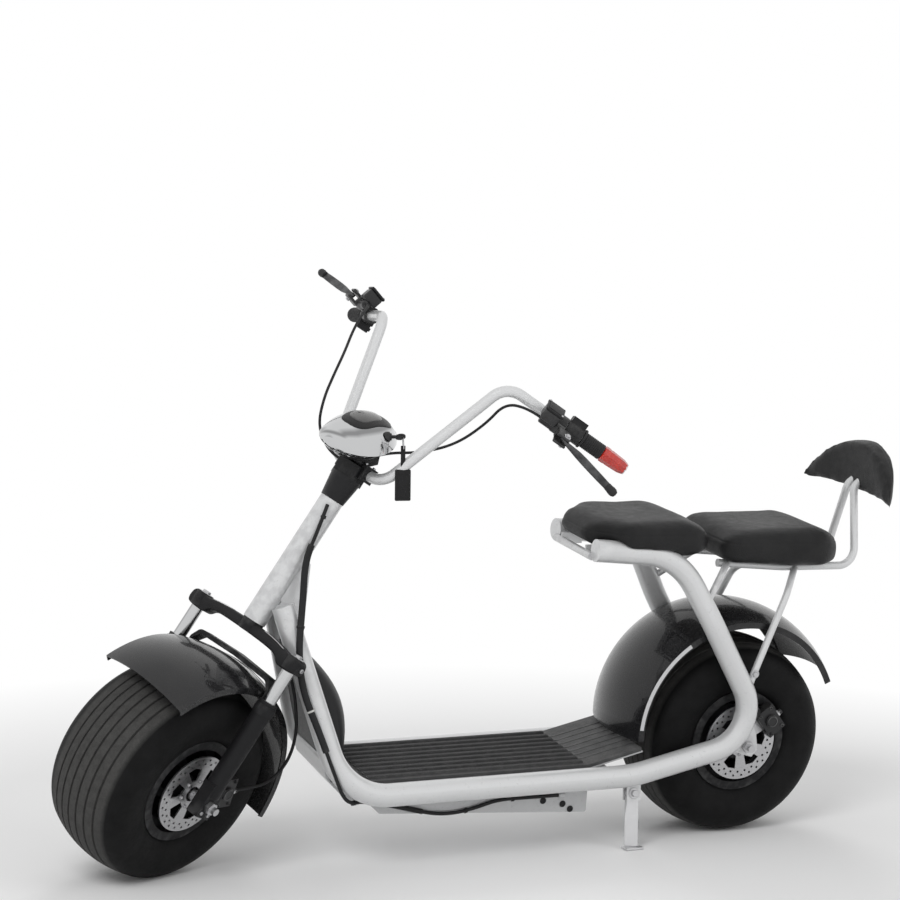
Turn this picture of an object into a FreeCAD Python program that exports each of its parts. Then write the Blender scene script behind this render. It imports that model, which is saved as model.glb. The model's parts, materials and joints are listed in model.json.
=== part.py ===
import FreeCAD, Part
import Sketcher
import math
import os
import sys
from FreeCAD import Placement, Rotation, Vector

# Electric chopper scooter: two fat 8 inch wheels in line, a twin-tube step-through frame,
# a raked fork with high bars, two cushions and a backrest.  It leans on its side stand
# with the bars turned left to their stop.
#
# Vehicle frame, before it leans: X forward, Y left, Z up, origin on the ground below the
# rear axle.  Fork frame: origin on the front axle, Z up along the steering axis,
# X forward and square to it, Y left.

os.makedirs("parts", exist_ok=True)
doc = FreeCAD.newDocument("ChopperScooter")

# name, millimetres or degrees, what it is
SIZES = (
    ("wheelbase", 1330, "rear axle to front axle"),
    ("axle_z", 228, "axle height of the upright vehicle"),
    ("rake", 32, "steering axis from the vertical"),
    ("lean", 7, "lean to the left on the stand"),
    ("steer_stop", 31, "bars turned left, at the stop"),
    ("tyre_rad", 228, "tyre outer radius"),
    ("tyre_half", 112, "half the tyre's width"),
    ("crown_rad", 250, "radius across the tread"),
    ("shoulder_rad", 45, "radius of the tyre shoulder"),
    ("tyre_wall", 9, "tyre wall thickness"),
    ("bead_rad", 102, "bead seat radius of the 8 inch rim"),
    ("flange_rad", 117, "rim flange radius"),
    ("rim_half", 97, "half the rim's width over the flanges"),
    ("rim_wall", 4, "rim wall thickness"),
    ("hub_rad", 48, "front hub radius"),
    ("hub_half", 62, "half the hubs' length on the right"),
    ("motor_rad", 86, "rear hub motor radius"),
    ("axle_rad", 8, "axle radius"),
    ("rotor_rad", 88, "brake rotor radius"),
    ("rotor_y", 106, "brake rotor's plane, left of centre"),
    ("rotor_thick", 4, "brake rotor thickness"),
    ("rotor_arms", 6, "arms of the rotor"),
    ("rotor_holes", 24, "holes in each ring of the rotor"),
    ("tube_rad", 25, "main tube radius"),
    ("tube_y", 143, "main tubes from the centre plane"),
    ("deck_tube_z", 181, "height of the main tubes at the deck"),
    ("spacer_rad", 12, "axle spacers"),
    ("axle_end", 12, "axle end beyond its nut"),
    ("nut_high", 11, "axle nut height"),
    ("nut_rad", 14, "axle nuts over their corners"),
    ("head_rad", 26, "head tube radius"),
    ("head_bore", 17, "head tube bore radius"),
    ("head_low", 366, "lower end of the head tube above the axle"),
    ("head_top", 668, "upper end of the head tube above the axle"),
    ("steerer_rad", 14, "steering shaft radius"),
    ("gusset_thick", 4, "neck gusset plate"),
    ("deck_half", 123, "half the deck's width"),
    ("deck_thick", 3, "deck plate"),
    ("mat_thick", 7, "foot mat"),
    ("mat_rib", 5, "height of the ribs on the foot mat"),
    ("box_half", 115, "half the belly box's width"),
    ("box_wall", 2.5, "belly box sheet"),
    ("fork_half", 145, "fork legs from the centre plane"),
    ("leg_rad", 21, "fork slider radius"),
    ("leg_top", 246, "upper end of the sliders"),
    ("stanchion_rad", 14, "stanchion radius"),
    ("crown_top", 362, "top of the fork crown at its middle"),
    ("crown_deep", 34, "fork crown front to back"),
    ("fender_edge", 255, "front fender radius at its edges"),
    ("fender_crest", 276, "front fender radius at its crest"),
    ("fender_half", 117.5, "half the fenders' width"),
    ("fender_thick", 3, "fender wall"),
    ("fender_lip", 14, "turned-in lip of the fenders"),
    ("rear_edge", 254, "rear fender radius at its edges"),
    ("rear_crest", 280, "rear fender radius at its crest"),
    ("bar_rad", 12, "handlebar tube radius"),
    ("bar_low", 752, "handlebar at its clamp, above the axle"),
    ("bar_high", 1066, "upper bends of the handlebar"),
    ("grip_rad", 17, "grip radius"),
    ("lever_left", 30, "left brake lever, turned down about the bar"),
    ("lever_right", -17, "right brake lever, turned down about the bar"),
    ("carrier_rad", 9, "passenger frame tube radius"),
    ("pin_rad", 6, "side stand pivot pin"),
    ("stand_wide", 32, "side stand leg, flattened tube width"),
    ("stand_thick", 12, "side stand leg thickness"),
    ("fit", 0.05, "radial clearance of shafts in their bores"),
    ("play", 0.3, "clearance between pieces that seat on each other"),
)

sheet = doc.addObject("Spreadsheet::Sheet", "sizes")
for row, (alias, value, meaning) in enumerate(SIZES, 1):
    sheet.set("A%d" % row, meaning)
    sheet.set("B%d" % row, str(value))
    sheet.setAlias("B%d" % row, alias)
doc.recompute()


class Size:
    """A number from the sheet, with the expression that leads back to it."""

    def __init__(self, number, text):
        self.number, self.text = float(number), text

    def __float__(self):
        return self.number

    def __add__(self, other):
        return Size(self.number + float(other), "(%s + %s)" % (self.text, word(other)))

    def __radd__(self, other):
        return Size(float(other) + self.number, "(%s + %s)" % (word(other), self.text))

    def __sub__(self, other):
        return Size(self.number - float(other), "(%s - %s)" % (self.text, word(other)))

    def __rsub__(self, other):
        return Size(float(other) - self.number, "(%s - %s)" % (word(other), self.text))

    def __mul__(self, other):
        return Size(self.number * float(other), "(%s * %s)" % (self.text, word(other)))

    __rmul__ = __mul__

    def __truediv__(self, other):
        return Size(self.number / float(other), "(%s / %s)" % (self.text, word(other)))

    def __neg__(self):
        return Size(-self.number, "(0 - %s)" % self.text)


def word(value):
    return value.text if isinstance(value, Size) else repr(float(value))


class Sizes:
    """d.name is the bound size."""

    def __getattr__(self, alias):
        return Size(sheet.get(alias), "sizes." + alias)


d = Sizes()


def num(alias):
    return float(sheet.get(alias))


def bind(obj, **props):
    for prop, value in props.items():
        obj.setExpression(prop, word(value))
    return obj


def vec(x, y, z):
    return Vector(float(x), float(y), float(z))


def add(kind, name, **props):
    return bind(doc.addObject(kind, name), **props)


def rod(name, radius, height, foot=(0, 0, 0), along=(0, 0, 1)):
    """A round bar from its foot along a direction."""
    bar = add("Part::Cylinder", name, Radius=radius, Height=height)
    bar.Placement = Placement(vec(*foot), Rotation(Vector(0, 0, 1), Vector(*along)))
    return bar


def block(name, length, width, height, corner=(0, 0, 0)):
    box = add("Part::Box", name, Length=length, Width=width, Height=height)
    box.Placement = Placement(vec(*corner), Rotation())
    return box


def shape(name, solid):
    """A piece whose shape is made here from the sizes."""
    piece = doc.addObject("Part::Feature", name)
    piece.Shape = solid
    return piece


def fuse(name, *pieces):
    joined = doc.addObject("Part::MultiFuse", name)
    joined.Shapes = list(pieces)
    return joined


def cut(name, base, tool):
    less = doc.addObject("Part::Cut", name)
    less.Base, less.Tool = base, tool
    return less


def common(name, one, other):
    both = doc.addObject("Part::Common", name)
    both.Base, both.Tool = one, other
    return both


def group(name, *pieces):
    """Like pieces that don't touch, kept together."""
    kit = doc.addObject("Part::Compound", name)
    kit.Links = list(pieces)
    return kit


def extrude(name, face, along, length, both=False):
    solid = add("Part::Extrusion", name, LengthFwd=length)
    solid.Base = face
    solid.DirMode = "Custom"
    solid.Dir = Vector(*along)
    solid.Solid = True
    solid.Symmetric = both
    return solid


def revolve(name, face, axis, angle=360.0, base=(0, 0, 0)):
    ring = add("Part::Revolution", name, Angle=angle)
    ring.Source = face
    ring.Axis = Vector(*axis)
    ring.Base = vec(*base)
    ring.Solid = True
    return ring


def rounded(points, radii, closed=False):
    """A wire of straight runs through the points, joined by tangent arcs."""
    points = [Vector(p) for p in points]
    count = len(points)
    corners = range(count) if closed else range(1, count - 1)
    ends = {i: (points[i], points[i]) for i in range(count)}
    arcs = {}
    for i in corners:
        radius = float(radii[i]) if hasattr(radii, "__len__") else float(radii)
        before, here, after = points[i - 1], points[i], points[(i + 1) % count]
        back, on = (before - here).normalize(), (after - here).normalize()
        half = back.getAngle(on) / 2
        if radius <= 0 or abs(half - math.pi / 2) < 1e-4:
            continue
        reach = radius / math.tan(half)
        middle = here + (back + on).normalize() * (radius / math.sin(half) - radius)
        ends[i] = (here + back * reach, here + on * reach)
        arcs[i] = Part.Arc(ends[i][0], middle, ends[i][1]).toShape()
    edges = []
    for i in range(count if closed else count - 1):
        if i in arcs and (closed or i > 0):
            edges.append(arcs[i])
        start, stop = ends[i][1], ends[(i + 1) % count][0]
        if start.distanceToPoint(stop) > 1e-6:
            edges.append(Part.LineSegment(start, stop).toShape())
    return Part.Wire(edges)


def profile(name, points, radii=0.0):
    """A closed face with its corners rounded."""
    return shape(name, Part.Face(rounded([vec(*p) for p in points], radii, True)))


def pipe(name, points, radii, radius):
    """A round tube along straight runs and tangent arcs."""
    path = shape(name + "_path", rounded([vec(*p) for p in points], radii))
    section = add("Part::Circle", name + "_section", Radius=radius)
    start, ahead = vec(*points[0]), vec(*points[1])
    section.Placement = Placement(start, Rotation(Vector(0, 0, 1), ahead - start))
    sweep = doc.addObject("Part::Sweep", name)
    sweep.Sections = [section]
    sweep.Spine = (path, ["Edge%d" % (i + 1) for i in range(len(path.Shape.Edges))])
    sweep.Solid = True
    sweep.Frenet = False
    return sweep


def mirrored(points):
    return [(x, -1 * y, z) for x, y, z in points]


def both_sides(name, maker, points, *rest):
    """The same piece on the left and on the right."""
    return group(name, maker(name + "_left", points, *rest), maker(name + "_right", mirrored(points), *rest))


def plane_of(body, role):
    return [f for f in body.Origin.OriginFeatures if f.Role == role][0]


def outline(body, name, role, points=(), circles=()):
    """A sketch on one of the body's own planes, each corner and radius bound to the sheet."""
    sketch = body.newObject("Sketcher::SketchObject", name)
    sketch.AttachmentSupport = [(plane_of(body, role), "")]
    sketch.MapMode = "FlatFace"
    count = len(points)
    for i in range(count):
        (x1, y1), (x2, y2) = points[i], points[(i + 1) % count]
        sketch.addGeometry(Part.LineSegment(vec(x1, y1, 0), vec(x2, y2, 0)), False)
    for i in range(count):
        sketch.addConstraint(Sketcher.Constraint("Coincident", i, 2, (i + 1) % count, 1))
    for i, (x, y) in enumerate(points):
        pin(sketch, i, 1, x, y)
    for x, y, radius in circles:
        ring = sketch.addGeometry(Part.Circle(vec(x, y, 0), Vector(0, 0, 1), float(radius)), False)
        pin(sketch, ring, 3, x, y)
        rule = sketch.addConstraint(Sketcher.Constraint("Radius", ring, float(radius)))
        sketch.setExpression("Constraints[%d]" % rule, word(radius))
    return sketch


def pin(sketch, item, spot, x, y):
    for kind, axis, value in (("DistanceX", -2, x), ("DistanceY", -1, y)):
        if abs(float(value)) < 1e-9 and not isinstance(value, Size):
            sketch.addConstraint(Sketcher.Constraint("PointOnObject", item, spot, axis))
            continue
        rule = sketch.addConstraint(Sketcher.Constraint(kind, -1, 1, item, spot, float(value)))
        if isinstance(value, Size):
            sketch.setExpression("Constraints[%d]" % rule, word(value))


def feature(body, kind, name, sketch, **props):
    step = body.newObject("PartDesign::" + kind, name)
    step.Profile = sketch
    bind(step, **props)
    sketch.Visibility = False
    return step


def around(body, name, steps, count):
    """The last cuts repeated round the wheel's axis."""
    pattern = body.newObject("PartDesign::PolarPattern", name)
    pattern.Originals = list(steps)
    pattern.Axis = (plane_of(body, "Z_Axis"), [""])
    pattern.Angle = 360
    bind(pattern, Occurrences=count)
    body.Tip = pattern
    return pattern


RAKE, LEAN, STEER = (math.radians(num(a)) for a in ("rake", "lean", "steer_stop"))
AXIS = Vector(-math.sin(RAKE), 0, math.cos(RAKE))


def shoulder():
    """Centre of the shoulder arc (across, radial) and where the tread arc ends."""
    across = num("tyre_half") - num("shoulder_rad")
    reach = num("crown_rad") - num("shoulder_rad")
    hub = num("tyre_rad") - num("crown_rad")
    return across, hub + math.sqrt(reach ** 2 - across ** 2), math.asin(across / reach)


def support(camber):
    """Height of the axle over the ground when the wheel leans by this much."""
    across, radial, end = shoulder()
    if camber <= end:
        return (num("tyre_rad") - num("crown_rad")) * math.cos(camber) + num("crown_rad")
    return radial * math.cos(camber) + across * math.sin(camber) + num("shoulder_rad")


def stance():
    """Both tyres on the ground: the vehicle leans, and its front rises with the turned wheel."""
    tilt = Rotation(Vector(1, 0, 0), -math.degrees(LEAN))
    pitch = 0.0
    for _ in range(6):
        turn = Rotation(Vector(0, 1, 0), math.degrees(pitch)).multiply(tilt)
        rear = turn.multVec(Vector(0, 1, 0))
        front = turn.multVec(Rotation(AXIS, math.degrees(STEER)).multVec(Vector(0, 1, 0)))
        low, high = support(math.asin(-rear.z)), support(math.asin(-front.z))
        pitch = -math.asin((high - low) / num("wheelbase"))
    axle = turn.multVec(Vector(0, 0, num("axle_z")))
    return Placement(Vector(0, 0, low - axle.z), turn)


STANCE = stance()
FORK = Placement(vec(d.wheelbase, 0, d.axle_z), Rotation(Vector(0, 1, 0), -num("rake")))
STEERED = FORK.multiply(Placement(Vector(), Rotation(Vector(0, 0, 1), num("steer_stop"))))
REAR_WHEEL = Placement(vec(0, 0, d.axle_z), Rotation(Vector(1, 0, 0), -90))
FRONT_WHEEL = STEERED.multiply(Placement(Vector(), Rotation(Vector(1, 0, 0), -90)))
UPRIGHT = Placement()

NODES = []


def node(piece, label, frame=UPRIGHT):
    """Names a finished piece and notes the frame that it was drawn in."""
    piece.Label = label
    NODES.append((piece, label, frame))
    return piece


def fork_point(x, y, z):
    """A point of the fork frame, bars straight, in the vehicle frame."""
    return FORK.multVec(vec(x, y, z))


# Wheels, drawn with the axle along Z and the left side up


def tyre(name, frame):
    """Hollow tyre: round tread, shoulders, bulging walls and beads on the rim."""
    half, rad, wall = num("tyre_half"), num("tyre_rad"), num("tyre_wall")
    seat, rim = num("bead_rad"), num("rim_half") - num("rim_wall")
    across, radial, end = shoulder()

    def side(half, rad, shoulder_rad, crown, foot, across, radial, end):
        hub = rad - crown
        crest = Vector(rad, 0, 0)
        turn = Vector(hub + crown * math.cos(end), 0, crown * math.sin(end))
        mid = math.radians(45) + end / 2
        bulge = Vector(radial + shoulder_rad * math.cos(mid), 0, across + shoulder_rad * math.sin(mid))
        wide = Vector(radial, 0, half)
        quarter = Vector(hub + crown * math.cos(end / 2), 0, crown * math.sin(end / 2))
        return crest, quarter, turn, bulge, wide

    outer = side(half, rad, num("shoulder_rad"), num("crown_rad"), seat, across, radial, end)
    inner = side(half - wall, rad - wall, num("shoulder_rad") - wall, num("crown_rad") - wall,
                 seat, across, radial, end)
    flange = num("flange_rad") + 3
    heel = Vector(flange, 0, rim + 7)
    belly = Vector((radial + flange) / 2 + 6, 0, half - 4)
    bead = [Vector(flange, 0, rim - num("play")), Vector(seat + num("play"), 0, rim - num("play")),
            Vector(seat + num("play"), 0, rim - 15), Vector(seat + 12, 0, rim - 13)]
    hollow = Vector((radial + seat + 12) / 2, 0, half - wall - 2)

    def flip(point):
        return Vector(point.x, point.y, -point.z)

    def half_edges(turned):
        m = flip if turned else Vector
        a, b, c, e, f = (m(p) for p in outer)
        g, h, i, j, k = (m(p) for p in inner)
        p, q, r, s = (m(x) for x in bead)
        return [Part.Arc(a, b, c), Part.Arc(c, e, f), Part.Arc(f, m(belly), m(heel)),
                Part.LineSegment(m(heel), p), Part.LineSegment(p, q), Part.LineSegment(q, r),
                Part.LineSegment(r, s), Part.Arc(s, m(hollow), k), Part.Arc(k, j, i), Part.Arc(i, h, g)]

    edges = [e.toShape() for e in half_edges(False) + half_edges(True)]
    wire = Part.Wire(Part.__sortEdges__(edges))
    return node(revolve(name, shape(name + "_section", Part.Face(wire)), (0, 0, 1)), name, frame)


def rim(name, hub, frame):
    """Pressed rim with two flanges, a dropped centre and a disc to the hub."""
    body = doc.addObject("PartDesign::Body", name)
    wall, seat, half, flange = d.rim_wall, d.bead_rad, d.rim_half, d.flange_rad
    well, bore = seat - 14, d.axle_rad + d.fit
    face = d.rotor_y - d.rotor_thick / 2 - d.play
    section = outline(body, name + "_section", "XZ_Plane", [
        (flange, half), (flange, half - wall), (seat, half - wall), (seat, half - 30), (well, half - 38),
        (well, 38 - half), (seat, 30 - half), (seat, wall - half), (flange, wall - half), (flange, -half),
        (seat - wall, -half), (seat - wall, 28 - half), (well - wall, 36 - half), (well - wall, -18),
        (hub, -18), (hub, -1 * d.hub_half), (bore, -1 * d.hub_half), (bore, face), (hub * 0.6, face),
        (hub * 0.6, 40), (hub, 36), (hub, -8), (well - wall, -8), (well - wall, half - 36),
        (seat - wall, half - 28), (seat - wall, half)])
    step = feature(body, "Revolution", name + "_spin", section)
    step.ReferenceAxis = (plane_of(body, "Z_Axis"), [""])
    step.Angle = 360
    body.Tip = step
    return node(body, name, frame)


def rotor(name, frame):
    """Drilled brake disc: a ring with two rows of holes, carried by arms."""
    body = doc.addObject("PartDesign::Body", name)
    disc = outline(body, name + "_disc", "XY_Plane", (), [(0, 0, d.rotor_rad), (0, 0, d.hub_rad * 0.36)])
    disc.AttachmentOffset = Placement(vec(0, 0, d.rotor_y - d.rotor_thick / 2), Rotation())
    disc.setExpression("AttachmentOffset.Base.z", word(d.rotor_y - d.rotor_thick / 2))
    feature(body, "Pad", name + "_plate", disc, Length=d.rotor_thick)
    inner, outer = d.rotor_rad * 0.36, d.rotor_rad * 0.66
    window = outline(body, name + "_window", "XY_Plane", [
        (inner, d.rotor_rad * -0.05), (inner, d.rotor_rad * 0.11), (outer, d.rotor_rad * 0.28),
        (outer + 6, d.rotor_rad * 0.08), (outer, d.rotor_rad * -0.12)])
    row_in = outline(body, name + "_row_in", "XY_Plane", (), [(d.rotor_rad - 17, 0, 2.6)])
    spread = math.pi / num("rotor_holes")
    row_out = outline(body, name + "_row_out", "XY_Plane", (), [
        ((d.rotor_rad - 8) * math.cos(spread), (d.rotor_rad - 8) * math.sin(spread), 2.6)])
    for sketch, count in ((window, d.rotor_arms), (row_in, d.rotor_holes), (row_out, d.rotor_holes)):
        doc.recompute()
        pocket = feature(body, "Pocket", sketch.Name + "_cut", sketch)
        pocket.Type = "ThroughAll"
        pocket.Reversed = True
        around(body, sketch.Name + "_ring", [pocket], count)
    return node(body, name, frame)


for place, hub, frame in (("front", d.hub_rad, FRONT_WHEEL), ("rear", d.motor_rad * 0.8, REAR_WHEEL)):
    tyre(place + "_tyre", frame)
    rim(place + "_rim", hub, frame)
    rotor(place + "_rotor", frame)

# Frame

# Centreline of the left main tube: neck, deck, rear bend, rise to the seat.
# What lies ahead of the belly box keeps its distance from the front axle.
base = num("wheelbase")
NECK, FOOT = (base - 245, 34, 575), (base - 364, d.tube_y, d.deck_tube_z)
main_path = [NECK, FOOT, (288, d.tube_y, d.deck_tube_z), (-42, d.tube_y, 253),
             (115, d.tube_y, 520), (200, 112, 672), (400, 104, 689)]
main_bend = [0, 135, 300, 95, 260, 150, 0]

head_foot = fork_point(0, 0, d.head_low)
head_outer = rod("head_outer", d.head_rad, d.head_top - d.head_low, head_foot, AXIS)
head_hole = rod("head_hole", d.head_bore, d.head_top - d.head_low + 20, fork_point(0, 0, d.head_low - 10), AXIS)
gusset_face = profile("gusset_outline", [(base - 308, 0, 676), (base - 222, 0, 575), (base - 282, 0, 492),
                                        (base - 300, 0, 560)],
                      [6, 4, 10, 40])
gusset_hole = rod("gusset_hole", 6, 80, (base - 240, -40, 581), (0, 1, 0))
gusset_solid = extrude("gusset_solid", gusset_face, (0, 1, 0), d.head_rad * 1.5, True)
gusset_void = extrude("gusset_void", gusset_face, (0, 1, 0), d.head_rad * 1.5 - d.gusset_thick * 2, True)
gusset_plates = cut("gusset_plates", cut("gusset_pair", gusset_solid, gusset_void), gusset_hole)
head_tube = node(cut("head_tube", fuse("neck", head_outer, gusset_plates), head_hole), "head_tube")

for side, path in (("left", main_path), ("right", mirrored(main_path))):
    run = pipe("main_run_" + side, path, main_bend, d.tube_rad)
    node(cut("main_tube_" + side, run, fuse("neck_tool_" + side, head_outer, gusset_solid)), "main_tube_" + side)

# The room that other pieces leave for the main tubes
tube_room = [pipe("tube_room_" + s, p, main_bend, d.tube_rad + d.play)
             for s, p in (("left", main_path), ("right", mirrored(main_path)))]
both_tubes = fuse("both_tubes", *tube_room)

# Cross tubes join the main tubes behind the belly box and under the seat
cross = []
for name, x, reach, z in (("rear", 330, d.tube_y - 10, d.deck_tube_z - 1), ("seat", 214, 110, 658)):
    cross.append(cut("cross_" + name, rod("cross_bar_" + name, 9, reach * 2, (x, -1 * reach, z), (0, 1, 0)), both_tubes))
node(group("cross_tubes", *cross), "cross_tubes")

# Deck plate on top of the belly box, with a ramp up to the rear fender
deck_z = d.deck_tube_z + 16
deck_end = base - 402
deck_side = profile("deck_side", [(deck_end, 0, deck_z), (384, 0, deck_z), (256, 0, deck_z + 30),
                                  (256, 0, deck_z + 33), (384, 0, deck_z + d.deck_thick),
                                  (deck_end, 0, deck_z + d.deck_thick)])
node(cut("deck_plate", extrude("deck_sheet", deck_side, (0, 1, 0), d.deck_half * 2, True), both_tubes), "deck_plate")

mat_z = deck_z + d.deck_thick + d.play
mat_top = mat_z + d.mat_thick
mat_end = base - 410
mat_side = profile("mat_side", [(mat_end, 0, mat_z), (384, 0, mat_z), (259, 0, mat_z + 29.3), (259, 0, mat_z + 36.3),
                                (386, 0, mat_top), (mat_end, 0, mat_top)])
mat_base = extrude("mat_base", mat_side, (0, 1, 0), (d.deck_half - 1) * 2, True)
ribs = [block("mat_rib_%d" % i, mat_end - 412, 9, d.mat_rib, (396, y - 4.5, mat_top - 1))
        for i, y in enumerate((-104, -78, -52, -26, 0, 26, 52, 78, 104))]
node(cut("deck_mat", fuse("mat_body", mat_base, *ribs), both_tubes), "deck_mat")

# Belly box, deeper towards the rear, with the battery inside
box_front = base - 418
box_points = [(383, 0, deck_z), (383, 0, 95), (box_front - 37, 0, 130), (box_front, 0, 166), (box_front, 0, deck_z)]
box_outer = extrude("box_outer", profile("box_side", box_points, [0, 5, 8, 8, 0]), (0, 1, 0), d.box_half * 2, True)
wall = d.box_wall
box_room = profile("box_room", [(383 + wall, 0, deck_z + 5), (383 + wall, 0, 95 + wall), (box_front - 37, 0, 130 + wall),
                                (box_front - wall, 0, 166 + wall), (box_front - wall, 0, deck_z + 5)], [0, 3, 6, 6, 0])
box_inner = extrude("box_inner", box_room, (0, 1, 0), (d.box_half - wall) * 2, True)
wire_gland = rod("wire_gland", 7, 14, (442, 119.3, 140.6), (1, 0, 0))
node(cut("belly_box", fuse("box_gland", box_outer, wire_gland), box_inner), "belly_box")
slope = 35 / (box_front - 37 - 383)
battery_low = 95 + wall + d.play * 2
battery_end = box_front - 112
node(extrude("battery", profile("battery_side", [
    (430, 0, deck_z - 8), (430, 0, battery_low + 47 * slope), (battery_end, 0, battery_low + (battery_end - 383) * slope),
    (battery_end, 0, deck_z - 8)]), (0, 1, 0), (d.box_half - 10) * 2, True), "battery")

# Nose box between the tubes ahead of the belly box, and the moulded cover over it
nose_side = profile("nose_side", [(box_front + 0.5, 0, 196.5), (box_front + 0.5, 0, 150), (box_front + 20, 0, 146),
                                  (box_front + 82, 0, 212), (box_front + 92, 0, 256), (box_front + 70, 0, 258),
                                  (box_front + 24, 0, 200.5), (box_front + 16.6, 0, 196.5)],
                    [4, 6, 14, 20, 8, 8, 6, 0])
nose = extrude("nose_solid", nose_side, (0, 1, 0), (d.tube_y - d.tube_rad - 18) * 2, True)
node(cut("nose_box", nose, both_tubes), "nose_box")


def leg_cover():
    """Bulging cover that fills the gap between the down tubes on the rider's side."""
    sections = []
    # along the tubes from 0 to 1, half width, bulge to the rear
    for t, half, swell in ((0.16, 108, 26), (0.30, 94, 44), (0.52, 70, 46), (0.74, 44, 24)):
        x = float(FOOT[0]) + (NECK[0] - float(FOOT[0])) * t
        z = float(FOOT[2]) + (NECK[2] - float(FOOT[2])) * t
        ring = [(8, -half), (8, half), (-0.6 * swell, half - 8), (-swell, half * 0.6),
                (-swell, half * -0.6), (-0.6 * swell, 8 - half)]
        ring = [Vector(x + back, y, z + back * 0.25) for back, y in ring]
        sections.append(Part.makePolygon(ring + ring[:1]))
    bulge = shape("leg_cover_bulge", Part.makeLoft(sections, True, True))
    return cut("leg_cover", bulge, fuse("cover_room", both_tubes, nose))


node(leg_cover(), "leg_cover")

# Seats: a channel across the main tubes carries the rider's cushion, a tubular carrier the passenger's


def on_tube(x):
    """Height of the main tube's centreline on its run under the seat."""
    (x1, _, z1), (x2, _, z2) = main_path[-2:]
    return z1 + (x - x1) * (z2 - z1) / (x2 - x1)


seat_y = 66
rise = float(d.tube_rad) - 21
seat_pan = profile("seat_pan_side", [(386, 0, on_tube(386) + rise), (386, 0, on_tube(386) + rise + 5),
                                     (240, 0, on_tube(240) + rise + 5), (240, 0, on_tube(240) + rise)])
pan = extrude("seat_pan", seat_pan, (0, 1, 0), 2 * seat_y, True)
hinge = rod("seat_hinge", 9, 2 * 92, (402, -92, on_tube(402) - 16), (0, 1, 0))
flaps = [block("hinge_flap_%d" % k, 50, 4, 26, (354, k * 61 - 2, on_tube(386) - 22)) for k in (1, -1)]
node(cut("seat_bracket", fuse("seat_bracket_body", hinge, pan, *flaps), both_tubes), "seat_bracket")


def cushion(name, side, plan, side_round, plan_round, corner):
    """A cushion: its side outline met by its plan outline, with the edges rounded."""
    long = extrude(name + "_long", profile(name + "_side", [(x, 0, z) for x, z in side], side_round), (0, 1, 0), 320, True)
    ring = plan + [(x, -1 * y) for x, y in plan[::-1]]
    face = profile(name + "_plan", [(x, y, 560) for x, y in ring], plan_round)
    deep = extrude(name + "_deep", face, (0, 0, 1), 300)
    met = common(name + "_met", long, deep)
    doc.recompute()
    soft = doc.addObject("Part::Fillet", name)
    soft.Base = met
    soft.Edges = [(i + 1, corner, corner) for i, edge in enumerate(met.Shape.Edges)
                  if edge.BoundBox.ZMax > met.Shape.BoundBox.ZMin + 30]
    return soft


rider = cushion("rider_soft", [(100, 690), (110, 670), (207, 669), (398, 690), (424, 702), (424, 722), (398, 748),
                               (180, 748), (126, 731), (100, 706)],
                [(426, 60), (345, 140), (152, 140), (99, 96)], 12, 50, 12.0)
pan_room = block("pan_room", 190, 2 * seat_y + 1, 52, (238, -1 * seat_y - 0.5, on_tube(386) + rise + 5.3 - 52))
node(cut("rider_seat", rider, fuse("seat_room", pan_room, both_tubes)), "rider_seat")
carrier_rad = d.carrier_rad
rail_path = [(72, 63, 640), (-100, 63, 624.5), (-290, 63, 621), (-301, 15, 790)]
pillion = cushion("passenger_seat", [(92, 652), (95, 690), (78, 712), (40, 719), (-160, 719), (-226, 700), (-240, 672),
                                     (-240, 632), (-100, 634.8), (20, 645.7)],
                  [(96, 100), (70, 128), (-190, 128), (-241, 84)], 14, 40, 7.0)
node(pillion, "passenger_seat")

# Passenger carrier: rails that turn up to the backrest, with struts and stays to the main tubes
node(both_sides("carrier_rail", pipe, rail_path, [0, 200, 45, 0], carrier_rad), "passenger_frame")


def stay(name, points, radii):
    """A tube from the carrier's underside to a main tube, cut to fit both."""
    bar = pipe(name, points, radii, carrier_rad - 1)
    side = 0 if float(points[0][1]) > 0 else 1
    rail = pipe(name + "_rail", rail_path if side == 0 else mirrored(rail_path), [0, 200, 45, 0], carrier_rad + d.play)
    return cut(name + "_cut", bar, fuse(name + "_tools", rail, tube_room[side]))


struts = []
for side, turn in (("left", list), ("right", mirrored)):
    struts.append(stay("seat_strut_" + side, turn([(-126, 70, 622), (-78, 124, 574), (0, 141, 398), (8, 141, 372)]),
                       [0, 45, 40, 0]))
    struts.append(stay("seat_stay_" + side, turn([(52, 72, 640), (132, 132, 558)]), [0, 0]))
node(group("seat_struts", *struts), "seat_struts")


def backrest():
    """Half-moon pad, curved round the passenger's back."""
    foot, top, half = 780, 905, 196
    front = Part.Arc(Vector(-276, half, foot), Vector(-312, 0, foot), Vector(-276, -half, foot))
    back = Part.Arc(Vector(-276, -half, foot), Vector(-362, 0, foot), Vector(-276, half, foot))
    plan = Part.Face(Part.Wire([front.toShape(), back.toShape()]))
    slab = plan.extrude(Vector(0, 0, top - foot))
    arch = Part.Arc(Vector(-420, half, foot), Vector(-420, 0, top), Vector(-420, -half, foot))
    base = Part.LineSegment(Vector(-420, -half, foot), Vector(-420, half, foot))
    moon = Part.Face(Part.Wire([arch.toShape(), base.toShape()])).extrude(Vector(200, 0, 0))
    return shape("backrest_moon", slab.common(moon))


back_room = [pipe("back_room_" + s, p, [0, 200, 45, 0], carrier_rad + d.play)
             for s, p in (("left", rail_path), ("right", mirrored(rail_path)))]
node(cut("backrest_pad", backrest(), fuse("back_room", *back_room)), "backrest_pad")


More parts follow.
